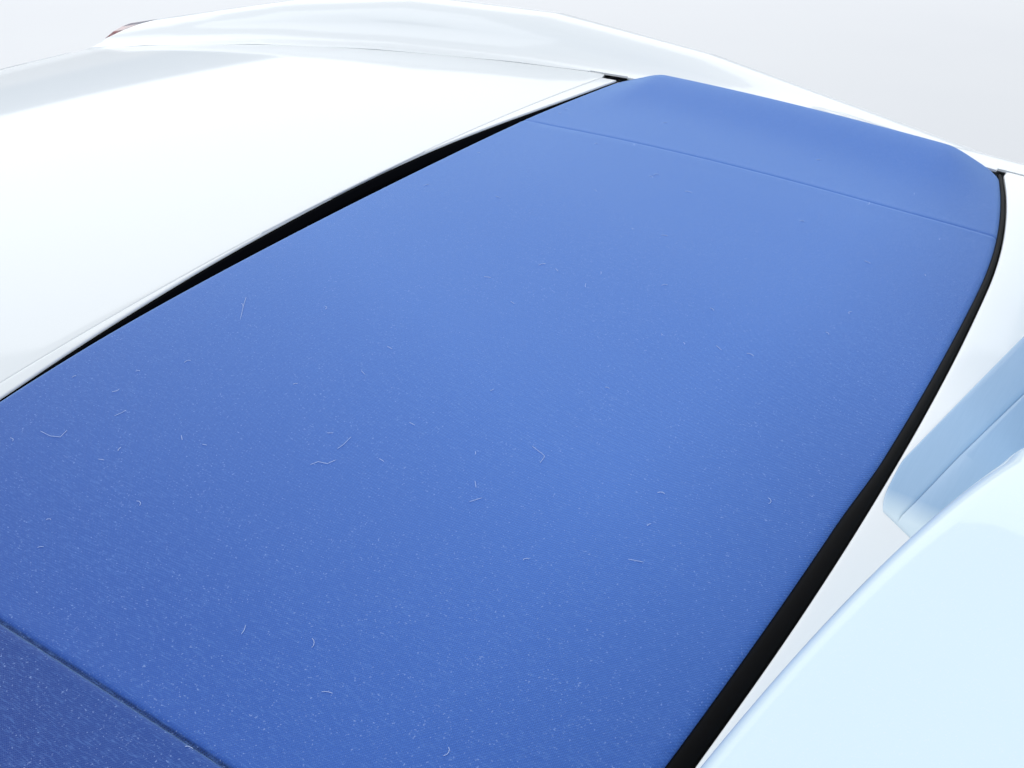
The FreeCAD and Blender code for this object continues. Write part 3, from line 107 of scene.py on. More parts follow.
def over_deck(px, py, above, rounds=8):
    """Point at a height above the deck that a pixel of the photograph shows."""
    forward, right, up = camera_axes()
    ray = forward + right * ((px - PHOTO_WIDE / 2) / FOCAL_PIXELS)
    ray = ray + up * ((PHOTO_HIGH / 2 - py) / FOCAL_PIXELS)
    height = DECK_TOP
    for _ in range(rounds):
        point = CAMERA_PLACE + ray * ((height - CAMERA_PLACE.z) / ray.z)
        height = float(deck_height(point.x, point.y)) + above
    return point


# Curves and tables

def bow_circle(mid_x, end_x, half):
    """Centre on the car's axis and radius of the circle through a bowed edge."""
    rise = mid_x - end_x
    radius = (half ** 2 + rise ** 2) / (2 * abs(rise))
    return mid_x - math.copysign(radius, rise), radius


def edge_x(edge, y):
    """Station of a bowed edge at distances y from the centre line: one arc, or two that meet smoothly."""
    y = np.abs(np.asarray(y, dtype=float))
    mid_x, end_x, half = edge[:3]
    if len(edge) == 3:
        centre, radius = bow_circle(mid_x, end_x, half)
        return centre + math.copysign(1.0, mid_x - end_x) * np.sqrt(radius ** 2 - y ** 2)
    shoulder = np.array(edge[3:])
    centre, radius = bow_circle(mid_x, *shoulder)
    middle = centre + np.sqrt(radius ** 2 - y ** 2)
    inward = np.array([centre, 0.0]) - shoulder
    inward /= np.linalg.norm(inward)
    chord = np.array([end_x, half]) - shoulder
    size = chord @ chord / (2 * chord @ inward)
    hub = shoulder + inward * size
    end = hub[0] + np.sqrt(np.maximum(size ** 2 - (y - hub[1]) ** 2, 0.0))
    return np.where(y < shoulder[1], middle, end)


def lengths(points):
    """Distance along a line of points, at each of them."""
    return np.concatenate([[0], np.cumsum(np.linalg.norm(np.diff(points, axis=0), axis=1))])


def at_distances(line, distances):
    """Plan points of a line at distances along it."""
    length = lengths(line)
    return np.stack([np.interp(distances, length, line[:, k]) for k in (0, 1)], axis=1)


def spaced(low, high, step, fine=(), fine_step=0.0006, reach=0.009):
    """Rising values from low to high, closer together about the fine ones."""
    values = list(np.arange(low, high, step)) + [high]
    for at in fine:
        values = [v for v in values if abs(v - at) > reach + step / 3]
        values += list(np.arange(at - reach, at + reach + fine_step / 2, fine_step))
    return np.array(sorted(values))


def smooth_step(value, low, high):
    """0 below low, 1 above high, smooth between."""
    part = np.clip((value - low) / (high - low), 0.0, 1.0)
    return part * part * (3 - 2 * part)


def from_table(table, y):
    """Value of a table of (y, value), straight between its places."""
    at, value = zip(*table)
    return np.interp(y, at, value)


def along_table(table, y, count=281, passes=40):
    """Value of a table of (y, value), its corners smoothed."""
    fine = np.linspace(table[0][0], table[-1][0], count)
    smooth = from_table(table, fine)
    for _ in range(passes):
        smooth[1:-1] = (smooth[:-2] + smooth[2:]) / 2
    return np.interp(y, fine, smooth)


# Meshes

def add_object(name, data):
    """New object in the scene."""
    obj = bpy.data.objects.new(name, data)
    bpy.context.scene.collection.objects.link(obj)
    return obj


def new_piece(name, points, faces, body, slot, finish=None):
    """Smooth mesh object that rides on a body, in its slot's material or in another finish."""
    mesh = bpy.data.meshes.new(name)
    mesh.from_pydata([tuple(p) for p in points], [], faces)
    mesh.validate()
    mesh.polygons.foreach_set("use_smooth", [True] * len(mesh.polygons))
    mesh.update()
    obj = add_object(name, mesh)
    obj.data.materials.append(FINISH[finish or slot])
    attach(obj, body)
    return obj


def tube_faces(rings, count):
    """Faces of a tube through rings of equal count, with closed ends."""
    faces = []
    for j in range(rings - 1):
        low, high = j * count, (j + 1) * count
        for i in range(count):
            k = (i + 1) % count
            faces.append((low + i, low + k, high + k, high + i))
    faces.append(tuple(range(count))[::-1])
    faces.append(tuple(range((rings - 1) * count, rings * count)))
    return faces


def grid_faces(rows, columns, flip):
    """Quads of a grid of points. Rows towards +X with columns towards +Y face up when flipped."""
    quads = [(r * columns + c, r * columns + c + 1, (r + 1) * columns + c + 1, (r + 1) * columns + c)
             for r in range(rows - 1) for c in range(columns - 1)]
    return [quad[::-1] for quad in quads] if flip else quads


def loft(rows, flip=True):
    """Points and faces of a grid through rows of equal count."""
    rows = [np.asarray(row) for row in rows]
    return np.vstack(rows), grid_faces(len(rows), len(rows[0]), flip)


def closed_outline(rear, front, corner):
    """Outline in plan, counter-clockwise from above: each side from the front on, then its rounded corner.

    Front and rear are (function of y that gives the edge's station, half width).
    """
    y = np.linspace(-1, 1, OUTLINE_STEPS)
    front_edge = np.stack([front[0](y * front[1]), y * front[1]], axis=1)
    rear_edge = np.stack([rear[0](-y * rear[1]), -y * rear[1]], axis=1)
    sides = [front_edge, np.linspace(front_edge[-1], rear_edge[0], OUTLINE_STEPS // 2),
             rear_edge, np.linspace(rear_edge[-1], front_edge[0], OUTLINE_STEPS // 2)]
    chord, spare = 8, 1e-4
    trimmed, bends = [], []
    for i, side in enumerate(sides):
        cuts = []
        for here, other in ((side, sides[i - 1][::-1]), (side[::-1], sides[(i + 1) % 4])):
            a, b = here[chord] - here[0], other[chord] - other[0]
            angle = math.acos(float(a @ b / np.linalg.norm(a) / np.linalg.norm(b)))
            cuts.append(corner / math.tan(angle / 2))
        bends.append(math.sin(angle / 2))
        length = lengths(side)
        first, last = cuts[0], length[-1] - cuts[1]
        inside = (length > first + spare) & (length < last - spare)
        ends = at_distances(side, [first, last])
        trimmed.append(np.vstack([ends[:1], side[inside], ends[1:]]))
    points = []
    for i, side in enumerate(trimmed):
        start, tip, end = side[-1], sides[i][-1], trimmed[(i + 1) % 4][0]
        weight = np.linspace(0, 1, CORNER_STEPS + 2)[1:-1, None]
        leave, pull, reach = (1 - weight) ** 2, 2 * weight * (1 - weight) * bends[i], weight ** 2
        arc = (leave * start + pull * tip + reach * end) / (leave + pull + reach)
        points += [side, arc]
    return points


def four_sides(outline, across, along):
    """Front, rear, left and right boundary of a grid, from an outline cut at the middle of each corner.

    Front and rear get the wanted distances from the centre line wherever their corners leave room.
    """
    half = [len(arc) // 2 for arc in outline[1::2]]
    lines = []
    for i in range(4):
        before, after = outline[2 * i - 1], outline[2 * i + 1]
        lines.append(np.vstack([before[half[i - 1]:], outline[2 * i], after[:half[i] + 1]]))
    front, left, rear, right = lines
    grid = []
    for line in (front, rear[::-1]):
        end = min(-line[0, 1], line[-1, 1])
        inner = across[np.abs(across) < EVEN_SHARE * end]
        outer = np.linspace(inner[-1], end, (len(across) - len(inner)) // 2 + 1)[1:]
        y = np.concatenate([-outer[::-1], inner, outer])
        length = lengths(line)
        at = np.interp(y, line[:, 1], length)
        at[0], at[-1] = 0.0, length[-1]
        grid.append(at_distances(line, at))
    for line in (left[::-1], right):
        grid.append(at_distances(line, along * lengths(line)[-1]))
    return grid


def patch(front, rear, left, right):
    """Plan points of a grid between four boundaries, rear row first."""
    u = (front[:, 1] - front[0, 1]) / (front[-1, 1] - front[0, 1])
    v = lengths(left) / lengths(left)[-1]
    u, v = u[None, :, None], v[:, None, None]
    ruled = (1 - v) * rear[None] + v * front[None] + (1 - u) * right[:, None] + u * left[:, None]
    corners = ((1 - u) * (1 - v) * rear[0] + u * (1 - v) * rear[-1]
               + (1 - u) * v * front[0] + u * v * front[-1])
    return ruled - corners


def round_the_grid(rows, columns):
    """Indices of a grid's boundary, counter-clockwise from above when +X is its last row."""
    last = (rows - 1) * columns
    loop = [last + c for c in range(columns)]
    loop += [r * columns + columns - 1 for r in range(rows - 2, -1, -1)]
    loop += range(columns - 2, -1, -1)
    return loop + [r * columns for r in range(1, rows - 1)]


def outward(points):
    """Unit normals of a closed counter-clockwise outline."""
    along = np.roll(points, -1, axis=0) - np.roll(points, 1, axis=0)
    normal = np.stack([along[:, 1], -along[:, 0]], axis=1)
    return normal / np.linalg.norm(normal, axis=1)[:, None]


def rolled_panel(rear, front, corner, across, along, roll, under, relief):
    """Points and faces of a crowned panel whose edge is rolled down and turned under.

    Roll is the edge's radius; under is a list of (distance in from the outline, drop) below the roll.
    """
    front, rear, left, right = four_sides(closed_outline(rear, front, corner), across, along)
    columns, rows = len(front), len(left)
    loop = round_the_grid(rows, columns)
    edge = patch(front, rear, left, right).reshape(-1, 2)[loop]
    normal = outward(edge)
    tops = edge - normal * roll
    a, b, c = columns - 1, columns + rows - 2, 2 * columns + rows - 3
    front, left, rear, right = tops[:a + 1], tops[a:b + 1], tops[b:c + 1], np.vstack([tops[c:], tops[:1]])
    inner = patch(front, rear[::-1], left[::-1], right).reshape(-1, 2)
    points = [np.column_stack([inner, deck_height(*inner.T) + relief(*inner.T)])]
    lift = relief(*tops.T)
    steps = [(roll * (1 - math.sin(turn)), roll * (1 - math.cos(turn)))
             for turn in np.linspace(0, math.pi / 2, ROLL_STEPS)[1:]]
    for inwards, drop in steps + [(inwards, roll + down) for inwards, down in under]:
        plan = edge - normal * inwards
        points.append(np.column_stack([plan, deck_height(*plan.T) + lift - drop]))
    faces = grid_faces(rows, columns, flip=True)
    count, before = len(loop), loop
    for ring in range(len(points) - 1):
        here = [rows * columns + ring * count + i for i in range(count)]
        for i in range(count):
            k = (i + 1) % count
            faces.append((before[i], here[i], here[k], before[k]))
        before = here
    return np.vstack(points), faces


def thicken(obj, depth):
    """Give a sheet its thickness, below its surface."""
    solid = obj.modifiers.new("thickness", "SOLIDIFY")
    solid.thickness = depth
    solid.offset = -1.0
    solid.use_even_offset = False


def tube_along(path, radius, sides=6, tip=0.35):
    """Points and faces of a thin tube along points, tapered to its ends."""
    path = np.asarray(path, dtype=float)
    along = np.gradient(path, axis=0)
    along /= np.linalg.norm(along, axis=1)[:, None]
    side = np.cross(along, [0.0, 0.0, 1.0])
    side /= np.maximum(np.linalg.norm(side, axis=1), 1e-9)[:, None]
    up = np.cross(side, along)
    turn = np.arange(sides) * 2 * math.pi / sides
    rings = []
    for i, point in enumerate(path):
        thick = radius * (tip if i in (0, len(path) - 1) else 1.0)
        rings.append(point + thick * (np.cos(turn)[:, None] * side[i] + np.sin(turn)[:, None] * up[i]))
    return np.vstack(rings), tube_faces(len(rings), sides)


def join(parts):
    """One list of points and faces from several."""
    points, faces, count = [], [], 0
    for some, some_faces in parts:
        points.append(some)
        faces += [tuple(i + count for i in face) for face in some_faces]
        count += len(some)
    return np.vstack(points), faces


# Materials

# Colours of the cloth, linear. Some are painted light and shade: painted light across the middle, painted
# shade towards the right, darker still beyond the right seam, and painted shade along the front edge.
CLOTH_COLOURS = {
    "shade_beyond_seam": (0.003, 0.018, 0.200),
    "painted_shade": (0.020, 0.082, 0.420),
    "painted_light": (0.092, 0.245, 0.760),
    "front": (0.024, 0.090, 0.400),
    "cloud": (0.050, 0.150, 0.520),
    "seam": (0.002, 0.008, 0.050),
    "weave": (0.030, 0.080, 0.330),
    "slub": (0.12, 0.25, 0.62),
    "dust": (0.30, 0.42, 0.78)}
# Painted light across the cloth's middle and left, giving way to painted shade towards its right: share of
# x in that slant, share of the clouds, and its range.
LIGHT_SLANT = 0.45
LIGHT_CLOUDS = 0.10
SHADE_END, LIGHT_END = -0.60, -0.16

# Darkest and lightest white of each copy of the one white body paint, as the photograph shows them. The
# lid's copy is darker as painted shade, the cowl's lighter as painted light, and the hoops' tinted blue as
# a painted reflection.
PAINTS = {
    "white_paint": ((0.84, 0.88, 0.91), (0.86, 0.90, 0.92)),
    "shaded_lid_paint": ((0.73, 0.77, 0.80), (0.75, 0.79, 0.81)),
    "lit_cowl_paint": ((0.91, 0.94, 0.95), (0.93, 0.95, 0.96)),
    "hoop_paint_blue_reflection": ((0.71, 0.87, 0.95), (0.74, 0.89, 0.96))}
FLAKE_WHITE = (0.93, 0.95, 0.98)

# Where the tail lamp goes from red to black, along, and the centre strip from its painted highlight to its
# blue, across.
LENS_RED, LENS_BLACK = -1.70, -1.60
STRIP_HIGHLIGHT, STRIP_BLUE = -0.046, -0.018
# Places of a mix node's colour sockets.
COLOUR_A, COLOUR_B, COLOUR_OUT = 6, 7, 2


def new_material(name, **values):
    """Principled material with constants on the shader's own sockets."""
    material = bpy.data.materials.new(name)
    material.use_nodes = True
    shader = material.node_tree.nodes["Principled BSDF"]
    for socket, value in values.items():
        shader.inputs[socket.replace("_", " ")].default_value = value
    return material


def add_node(owner, kind, inputs=None, **props):
    """Node of a material or sky with its settings; an input is a value or another node's output."""
    node = owner.node_tree.nodes.new(kind)
    for prop, value in props.items():
        setattr(node, prop, value)
    for key, value in (inputs or {}).items():
        if isinstance(value, bpy.types.NodeSocket):
            owner.node_tree.links.new(value, node.inputs[key])
        else:
            node.inputs[key].default_value = value
    return node


def to_shader(material, socket, output):
    """Link an output to a socket of the material's shader."""
    shader = material.node_tree.nodes["Principled BSDF"]
    material.node_tree.links.new(output, shader.inputs[socket])


def place(material, scale=(1, 1, 1), turn=(0, 0, 0)):
    """The piece's own coordinates, scaled and turned."""
    coords = add_node(material, "ShaderNodeTexCoord").outputs["Object"]
    mapping = {"Vector": coords, "Scale": scale, "Rotation": turn}
    return add_node(material, "ShaderNodeMapping", mapping).outputs["Vector"]


def axes(owner, vector):
    """Outputs X, Y and Z of a vector."""
    return add_node(owner, "ShaderNodeSeparateXYZ", {"Vector": vector}).outputs


def noise(material, vector, scale, detail):
    """Soft random value from 0 to 1."""
    settings = {"Vector": vector, "Scale": scale, "Detail": detail}
    return add_node(material, "ShaderNodeTexNoise", settings).outputs["Fac"]


def spread(material, value, low, high, start=0.0, end=1.0):
    """Map a value from one range to another, clamped."""
    settings = {"Value": value, "From Min": low, "From Max": high, "To Min": start, "To Max": end}
    return add_node(material, "ShaderNodeMapRange", settings).outputs["Result"]


def maths(material, kind, a, b=0.0):
    """Result of a calculation with one or two values."""
    return add_node(material, "ShaderNodeMath", {0: a, 1: b}, operation=kind).outputs[0]


def blend_colours(material, factor, a, b):
    """Colour between a and b, each a colour or another node's output."""
    a, b = (end if isinstance(end, bpy.types.NodeSocket) else (*end, 1.0) for end in (a, b))
    settings = {"Factor": factor, COLOUR_A: a, COLOUR_B: b}
    return add_node(material, "ShaderNodeMix", settings, data_type="RGBA").outputs[COLOUR_OUT]


def mottle(material, scale, detail, dark, light):
    """Base colour that drifts between two colours."""
    drift = noise(material, place(material), scale, detail)
    to_shader(material, "Base Color", blend_colours(material, drift, dark, light))


def emboss(material, height, distance, strength, socket="Normal"):
    """Fine relief of the surface, or of its coat."""
    settings = {"Height": height, "Distance": distance, "Strength": strength}
    to_shader(material, socket, add_node(material, "ShaderNodeBump", settings).outputs["Normal"])


def make_paint(name, dark, light):
    """Cool white gloss paint under a clear coat, with faint flop and orange peel."""
    material = new_material(name, Roughness=0.36, Coat_Weight=0.7, Coat_Roughness=0.05,
                            Coat_IOR=1.45, Specular_IOR_Level=0.35)
    where = place(material)
    drift = noise(material, where, scale=2.2, detail=3.0)
    flakes = noise(material, where, scale=1400.0, detail=1.0)
    peel = noise(material, where, scale=260.0, detail=2.0)
    tint = blend_colours(material, drift, dark, light)
    sparkle = spread(material, flakes, low=0.60, high=0.75, end=0.25)
    to_shader(material, "Base Color", blend_colours(material, sparkle, tint, FLAKE_WHITE))
    emboss(material, peel, distance=0.00002, strength=0.35, socket="Coat Normal")
    emboss(material, flakes, distance=0.00001, strength=0.25)
    return material


def threads_at(material, angle, scale, distortion):
    """Lines of wavy threads at an angle in degrees across the cloth."""
    turned = place(material, turn=(0, 0, math.radians(angle)))
    settings = {"Vector": turned, "Scale": scale, "Distortion": distortion, "Detail": 1.0,
                "Detail Scale": 3.0}
    return add_node(material, "ShaderNodeTexWave", settings).outputs["Fac"]


def make_cloth_blue():
    """Blue twill of the roof: fine diagonal weave with dust in it, painted light across its middle and
    left, painted shade towards its right side and along its front edge.
    """
    material = new_material("blue_cloth", Roughness=0.58, Sheen_Weight=0.75, Sheen_Roughness=0.38,
                            Sheen_Tint=(0.42, 0.68, 1.0, 1.0), Specular_IOR_Level=0.45,
                            Specular_Tint=(0.55, 0.80, 1.0, 1.0))
    where = place(material)
    twill = threads_at(material, 38, scale=190.0, distortion=1.2)
    cross = threads_at(material, -52, scale=310.0, distortion=1.6)
    threads = maths(material, "MULTIPLY", twill, cross)
    slub = noise(material, place(material, scale=(1.0, 7.0, 1.0)), scale=160.0, detail=2.0)
    clouds = noise(material, where, scale=3.0, detail=4.0)
    dust = noise(material, where, scale=620.0, detail=1.0)
    along, across = axes(material, where)["X"], axes(material, where)["Y"]

    colours = CLOTH_COLOURS
    # Painted shade beyond the right seam, where the side bolster turns away from the light.
    shade_side_mask = spread(material, across, -SEAM_Y - 0.001, -SEAM_Y + 0.001)
    dark = blend_colours(material, shade_side_mask, colours["shade_beyond_seam"], colours["painted_shade"])
    # Painted light across the middle, giving way to painted shade towards the right.
    slant = maths(material, "ADD", across, maths(material, "MULTIPLY", along, LIGHT_SLANT))
    slant = maths(material, "ADD", slant, maths(material, "MULTIPLY", clouds, LIGHT_CLOUDS))
    base = blend_colours(material, spread(material, slant, SHADE_END, LIGHT_END), dark, colours["painted_light"])
    off_seam = maths(material, "ABSOLUTE", maths(material, "ADD", across, SEAM_Y))
    for name, share in (
            # Painted shade along the cloth's front edge.
            ("front", spread(material, along, -0.16, -0.02, end=0.45)),
            ("cloud", maths(material, "MULTIPLY", clouds, 0.2)),
            ("seam", spread(material, off_seam, 0.0010, 0.0020, start=0.92, end=0.0)),
            ("weave", spread(material, threads, 0.0, 0.8, start=0.55, end=0.0)),
            ("slub", spread(material, slub, 0.52, 0.72, end=0.35)),
            ("dust", spread(material, dust, 0.66, 0.76, end=0.5))):
        base = blend_colours(material, share, base, colours[name])
    to_shader(material, "Base Color", base)
    grain = maths(material, "ADD", threads, maths(material, "MULTIPLY", slub, 0.6))
    emboss(material, grain, distance=0.00025, strength=0.6)
    return material


def make_rubber():
    """Dull black rubber."""
    material = new_material("black_rubber", Roughness=0.50, Specular_IOR_Level=0.06)
    mottle(material, 40.0, 4.0, (0.0007, 0.0008, 0.0012), (0.0020, 0.0022, 0.0030))
    emboss(material, noise(material, place(material), 900.0, 2.0), distance=0.00003, strength=0.5)
    return material


def make_lens():
    """Ribbed red lens, black towards its front."""
    material = new_material("red_lens", Roughness=0.12, Coat_Weight=1.0, Coat_Roughness=0.02)
    where = place(material)
    settings = {"Vector": where, "Scale": 60.0}
    ribs = add_node(material, "ShaderNodeTexWave", settings, bands_direction="Z").outputs["Fac"]
    red = blend_colours(material, ribs, (0.16, 0.004, 0.008), (0.24, 0.008, 0.012))
    front = spread(material, axes(material, where)["X"], LENS_RED, LENS_BLACK)
    to_shader(material, "Base Color", blend_colours(material, front, red, (0.008, 0.008, 0.010)))
    emboss(material, ribs, distance=0.0002, strength=0.4)
    return material


def make_plastic():
    """Grained black plastic."""
    material = new_material("black_plastic", Roughness=0.62, Specular_IOR_Level=0.4)
    mottle(material, 8.0, 4.0, (0.020, 0.021, 0.023), (0.034, 0.034, 0.036))
    settings = {"Vector": place(material), "Scale": 420.0}
    grain = add_node(material, "ShaderNodeTexVoronoi", settings).outputs["Distance"]
    emboss(material, grain, distance=0.0002, strength=0.5)
    return material


def make_steel():
    """Dark coated steel of the frames and arms."""
    material = new_material("dark_steel", Metallic=0.35, Roughness=0.42, Coat_Weight=0.2)
    mottle(material, 12.0, 5.0, (0.045, 0.047, 0.052), (0.075, 0.077, 0.083))
    where = place(material)
    worn = noise(material, where, scale=30.0, detail=3.0)
    to_shader(material, "Roughness", spread(material, worn, 0.3, 0.7, start=0.34, end=0.55))
    emboss(material, noise(material, where, 500.0, 2.0), distance=0.00003, strength=0.6)
    return material


def make_glass():
    """Clear glass of the rear window."""
    material = new_material("clear_glass", Roughness=0.04, Transmission_Weight=0.85, IOR=1.5)
    mottle(material, 4.0, 3.0, (0.40, 0.46, 0.48), (0.46, 0.52, 0.53))
    return material


def make_satin():
    """Steel-blue satin of the centre strip, its blue partly a painted reflection, with a painted highlight
    at its right end.
    """
    material = new_material("satin_strip", Roughness=0.40, Coat_Weight=0.5, Coat_Roughness=0.12)
    brushed = noise(material, place(material, scale=(1.0, 0.05, 1.0)), scale=700.0, detail=2.0)
    # The strip's blue is partly its satin's own colour and partly a painted reflection.
    satin_and_reflection = blend_colours(material, brushed, (0.29, 0.47, 0.69), (0.33, 0.51, 0.73))
    # Painted highlight at the strip's rounded right end, giving way to its blue.
    inner = spread(material, axes(material, place(material))["Y"], STRIP_HIGHLIGHT, STRIP_BLUE)
    to_shader(material, "Base Color", blend_colours(material, inner, (0.72, 0.86, 0.94), satin_and_reflection))
    emboss(material, brushed, distance=0.00002, strength=0.4)
    return material


def make_fibre():
    """Pale lint."""
    material = new_material("pale_fibre", Roughness=0.9, Sheen_Weight=0.3)
    mottle(material, 30.0, 2.0, (0.30, 0.44, 0.80), (0.55, 0.66, 0.92))
    return material


FINISH = {
    "lint": make_fibre(),
    **{name: make_paint(name, *whites) for name, whites in PAINTS.items()},
    "blue_cloth": make_cloth_blue(),
    "black_rubber": make_rubber(),
    "red_lens": make_lens(),
    "black_plastic": make_plastic(),
    "dark_steel": make_steel(),
    "clear_glass": make_glass(),
    "satin_strip": make_satin(),
}


def finish_nodes():
    """Give each node of the frame its slot's material."""
    for entry in frame["record"]["subparts"]:
        obj = NODES[entry["node"]]
        obj.data.materials.clear()
        obj.data.materials.append(FINISH[entry["material_slot"]])


# Roof cloth

CLOTH_THICK = 0.0022
CLOTH_ROLL = 0.010
# The cloth's turned edge below its roll: (distance in, drop).
CLOTH_UNDER = [(0.0, 0.0025), (0.0010, 0.0045), (0.0030, 0.0055)]
CLOTH_HALF = 0.70
CLOTH_STEP = 0.012
CLOTH_ROWS = 72
SEAM_HALF = 0.0019
SEAM_DEEP = 0.0030
# The left seam shows far less than the right one.
SEAM_TIGHT = 0.22
# Soft ridges along each seam.
RIDGE_HIGH = 0.0009
RIDGE_AWAY = 0.0065
RIDGE_WIDE = 0.0045
BOLSTER_HIGH = 0.017
BOLSTER_WIDE = 0.085
BOLSTER_FADE = 0.070
# Slack between the bows: height, then radians per metre and phase of its waves.
BROAD_SLACK, BROAD_ALONG, BROAD_ACROSS = 0.0009, (7.0, 2.0), (5.0, 0.6)
FINE_SLACK, FINE_ALONG, FINE_ACROSS = 0.0005, 9.0, 23.0
SLACK_FROM, SLACK_FULL = 0.03, 0.15
# How far the cloth bulges over its side gap.
SIDE_BULGE = 0.0045
# How far the cloth's front edge stands behind the panel's, and how much more at its right.
FRONT_SET = 0.0040
FRONT_SET_RIGHT = 0.0030
FRONT_SET_FROM, FRONT_SET_FULL = -0.02, 0.08
# How far the cloth's rear edge stands ahead of the panel's: (y, distance).
REAR_SET = ((-0.70, 0.0), (-0.45, 0.0008), (-0.38, -0.0010), (-0.30, -0.0046), (-0.20, -0.0054),
            (-0.13, -0.0030), (-0.05, 0.0), (0.0, 0.0020), (0.10, 0.0050), (0.20, 0.0065),
            (0.30, 0.0060), (0.40, 0.0035), (0.50, 0.0), (0.70, 0.0))


def cloth_rear(y):
    """Rear edge of the cloth, slack towards the lid at its right and drawn forwards at its left."""
    return edge_x(ROOF_REAR, y) + along_table(REAR_SET, y)


def cloth_front(y):
    """Front edge of the cloth, a little behind the panel's, more so at its right."""
    right = smooth_step(-np.asarray(y), FRONT_SET_FROM, FRONT_SET_FULL)
    return edge_x(ROOF_FRONT, y) - FRONT_SET - FRONT_SET_RIGHT * right


def side_of_roof(x):
    """Half width of the stowed roof panel at a station."""
    x_front, y_front, x_rear, y_rear = ROOF_FRONT[1], ROOF_FRONT[2], ROOF_REAR[1], ROOF_REAR[2]
    return y_front + (x - x_front) * (y_rear - y_front) / (x_rear - x_front)


def cloth_slack(x, y):
    """Shallow waves of the cloth between the bows."""
    broad = BROAD_SLACK * np.sin(BROAD_ALONG[0] * x + BROAD_ALONG[1])
    broad = broad * np.cos(BROAD_ACROSS[0] * y + BROAD_ACROSS[1])
    return broad + FINE_SLACK * np.sin(FINE_ACROSS * y + FINE_ALONG * x)


def cloth_relief(x, y):
    """Bolsters along the sides, the seams' grooves with soft ridges, and slack between the bows."""
    inwards = side_of_roof(x) - np.abs(y)
    from_end = np.minimum(cloth_front(y) - x, x - cloth_rear(y))
    near_end = smooth_step(from_end, 0.0, BOLSTER_FADE)
    bolster = BOLSTER_HIGH * np.exp(-np.square(np.maximum(inwards, 0) / BOLSTER_WIDE)) * near_end
    away = np.abs(np.abs(y) - SEAM_Y)
    pulled = np.where(np.asarray(y) > 0, SEAM_TIGHT, 1.0)
    groove = -SEAM_DEEP * pulled * np.exp(-np.square(away / SEAM_HALF))
    ridge = RIDGE_HIGH * pulled * np.exp(-np.square((away - RIDGE_AWAY) / RIDGE_WIDE))
    return bolster + groove + ridge + cloth_slack(x, y) * smooth_step(from_end, SLACK_FROM, SLACK_FULL)


def make_roof_cloth():
    """Cloth of the stowed front roof panel, rolled over the panel's edge and turned under."""
    across = spaced(-CLOTH_HALF, CLOTH_HALF, CLOTH_STEP, fine=(-SEAM_Y, SEAM_Y))
    points, faces = rolled_panel((cloth_rear, ROOF_REAR[2] + SIDE_BULGE),
                                 (cloth_front, ROOF_FRONT[2] + SIDE_BULGE), ROOF_CORNER, across,
                                 np.linspace(0, 1, CLOTH_ROWS), CLOTH_ROLL, CLOTH_UNDER, cloth_relief)
    cloth = new_piece("roof_cloth_skin", points, faces, "roof_panel", "blue_cloth")
    thicken(cloth, CLOTH_THICK)
    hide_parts("roof_cloth")


# Fibres that lie on the cloth, where the photograph shows them: pixels along each.
LINT_PIXELS = [
    [(40, 430), (50, 435), (60, 436), (67, 429)], [(114, 415), (121, 412), (126, 409)],
    [(337, 447), (343, 443), (351, 435)], [(532, 446), (545, 456), (540, 463)],
    [(475, 480), (476, 487)], [(469, 501), (482, 497)], [(628, 559), (644, 562)],
    [(240, 318), (244, 302), (246, 296)], [(484, 275), (491, 276)], [(181, 434), (182, 439)],
    [(202, 443), (207, 444)], [(98, 458), (104, 459)], [(379, 457), (384, 460)],
    [(327, 431), (333, 431)], [(409, 421), (415, 424)], [(361, 369), (365, 373)],
    [(310, 463), (318, 460), (327, 462), (336, 458)], [(716, 345), (722, 350)]]
# Height over the bare deck that their places are found with.
CLOTH_ABOVE = 0.0012
FIBRE_RADIUS = 0.00022
FIBRE_UP = 0.0004
# Other short fibres: how many, where, and how each runs.
LOOSE_COUNT = 70
LOOSE_X, LOOSE_Y = (-0.62, -0.05), (-0.60, 0.55)
LOOSE_POINTS = 5
LOOSE_STEP = (0.0008, 0.0022)
LOOSE_BEND = (-1.5, 1.5)
BEND_SHARE = 0.4


def loose_fibre(rng):
    """Plan points of a short fibre at a random place."""
    x, y = rng.uniform(*LOOSE_X), rng.uniform(*LOOSE_Y)
    turn, bend = rng.uniform(0, math.pi), rng.uniform(*LOOSE_BEND)
    step = rng.uniform(*LOOSE_STEP)
    line = []
    for _ in range(LOOSE_POINTS):
        line.append((x, y, 0.0))
        turn += bend * BEND_SHARE
        x, y = x + step * math.cos(turn), y + step * math.sin(turn)
    return line


def make_lint():
    """Pale fibres lying on the cloth."""
    rng = random.Random(11)
    paths = [[over_deck(px, py, CLOTH_ABOVE) for px, py in line] for line in LINT_PIXELS]
    paths += [loose_fibre(rng) for _ in range(LOOSE_COUNT)]
    tubes = []
    for path in paths:
        path = np.array([tuple(p) for p in path])
        fine = np.linspace(0, len(path) - 1, 4 * len(path))
        line = np.stack([np.interp(fine, range(len(path)), path[:, k]) for k in (0, 1, 2)], axis=1)
        line[:, 2] = deck_height(line[:, 0], line[:, 1]) + cloth_relief(line[:, 0], line[:, 1]) + FIBRE_UP
        tubes.append(tube_along(line, FIBRE_RADIUS))
    new_piece("roof_lint", *join(tubes), "roof_panel", "blue_cloth", "lint")


# Rubber and body panels round the roof

SKIN_THICK = 0.0012

# The seal: depths of its top and foot below the deck, rounding of its bulb, how far it goes under the
# cloth, and how far it stops short of the cowl and of the panel's corners.
SEAL_SINK = 0.0012
SEAL_FOOT = 0.016
SEAL_ROUND = 0.0045
SEAL_FULLNESS = 0.7
SEAL_ROWS = 13
SEAL_TUCK = 0.0030
SEAL_SHORT = 0.0012
SEAL_END = 0.004

COWL_HALF = 0.664
COWL_FRONT = (0.250, 0.240, COWL_HALF)
COWL_CORNER = 0.004
COWL_ROLL = 0.0028
COWL_UNDER = [(0.0, 0.004), (0.0, 0.012)]
COWL_GRID_HALF, COWL_COLUMNS, COWL_ROWS = 0.64, 120, 26
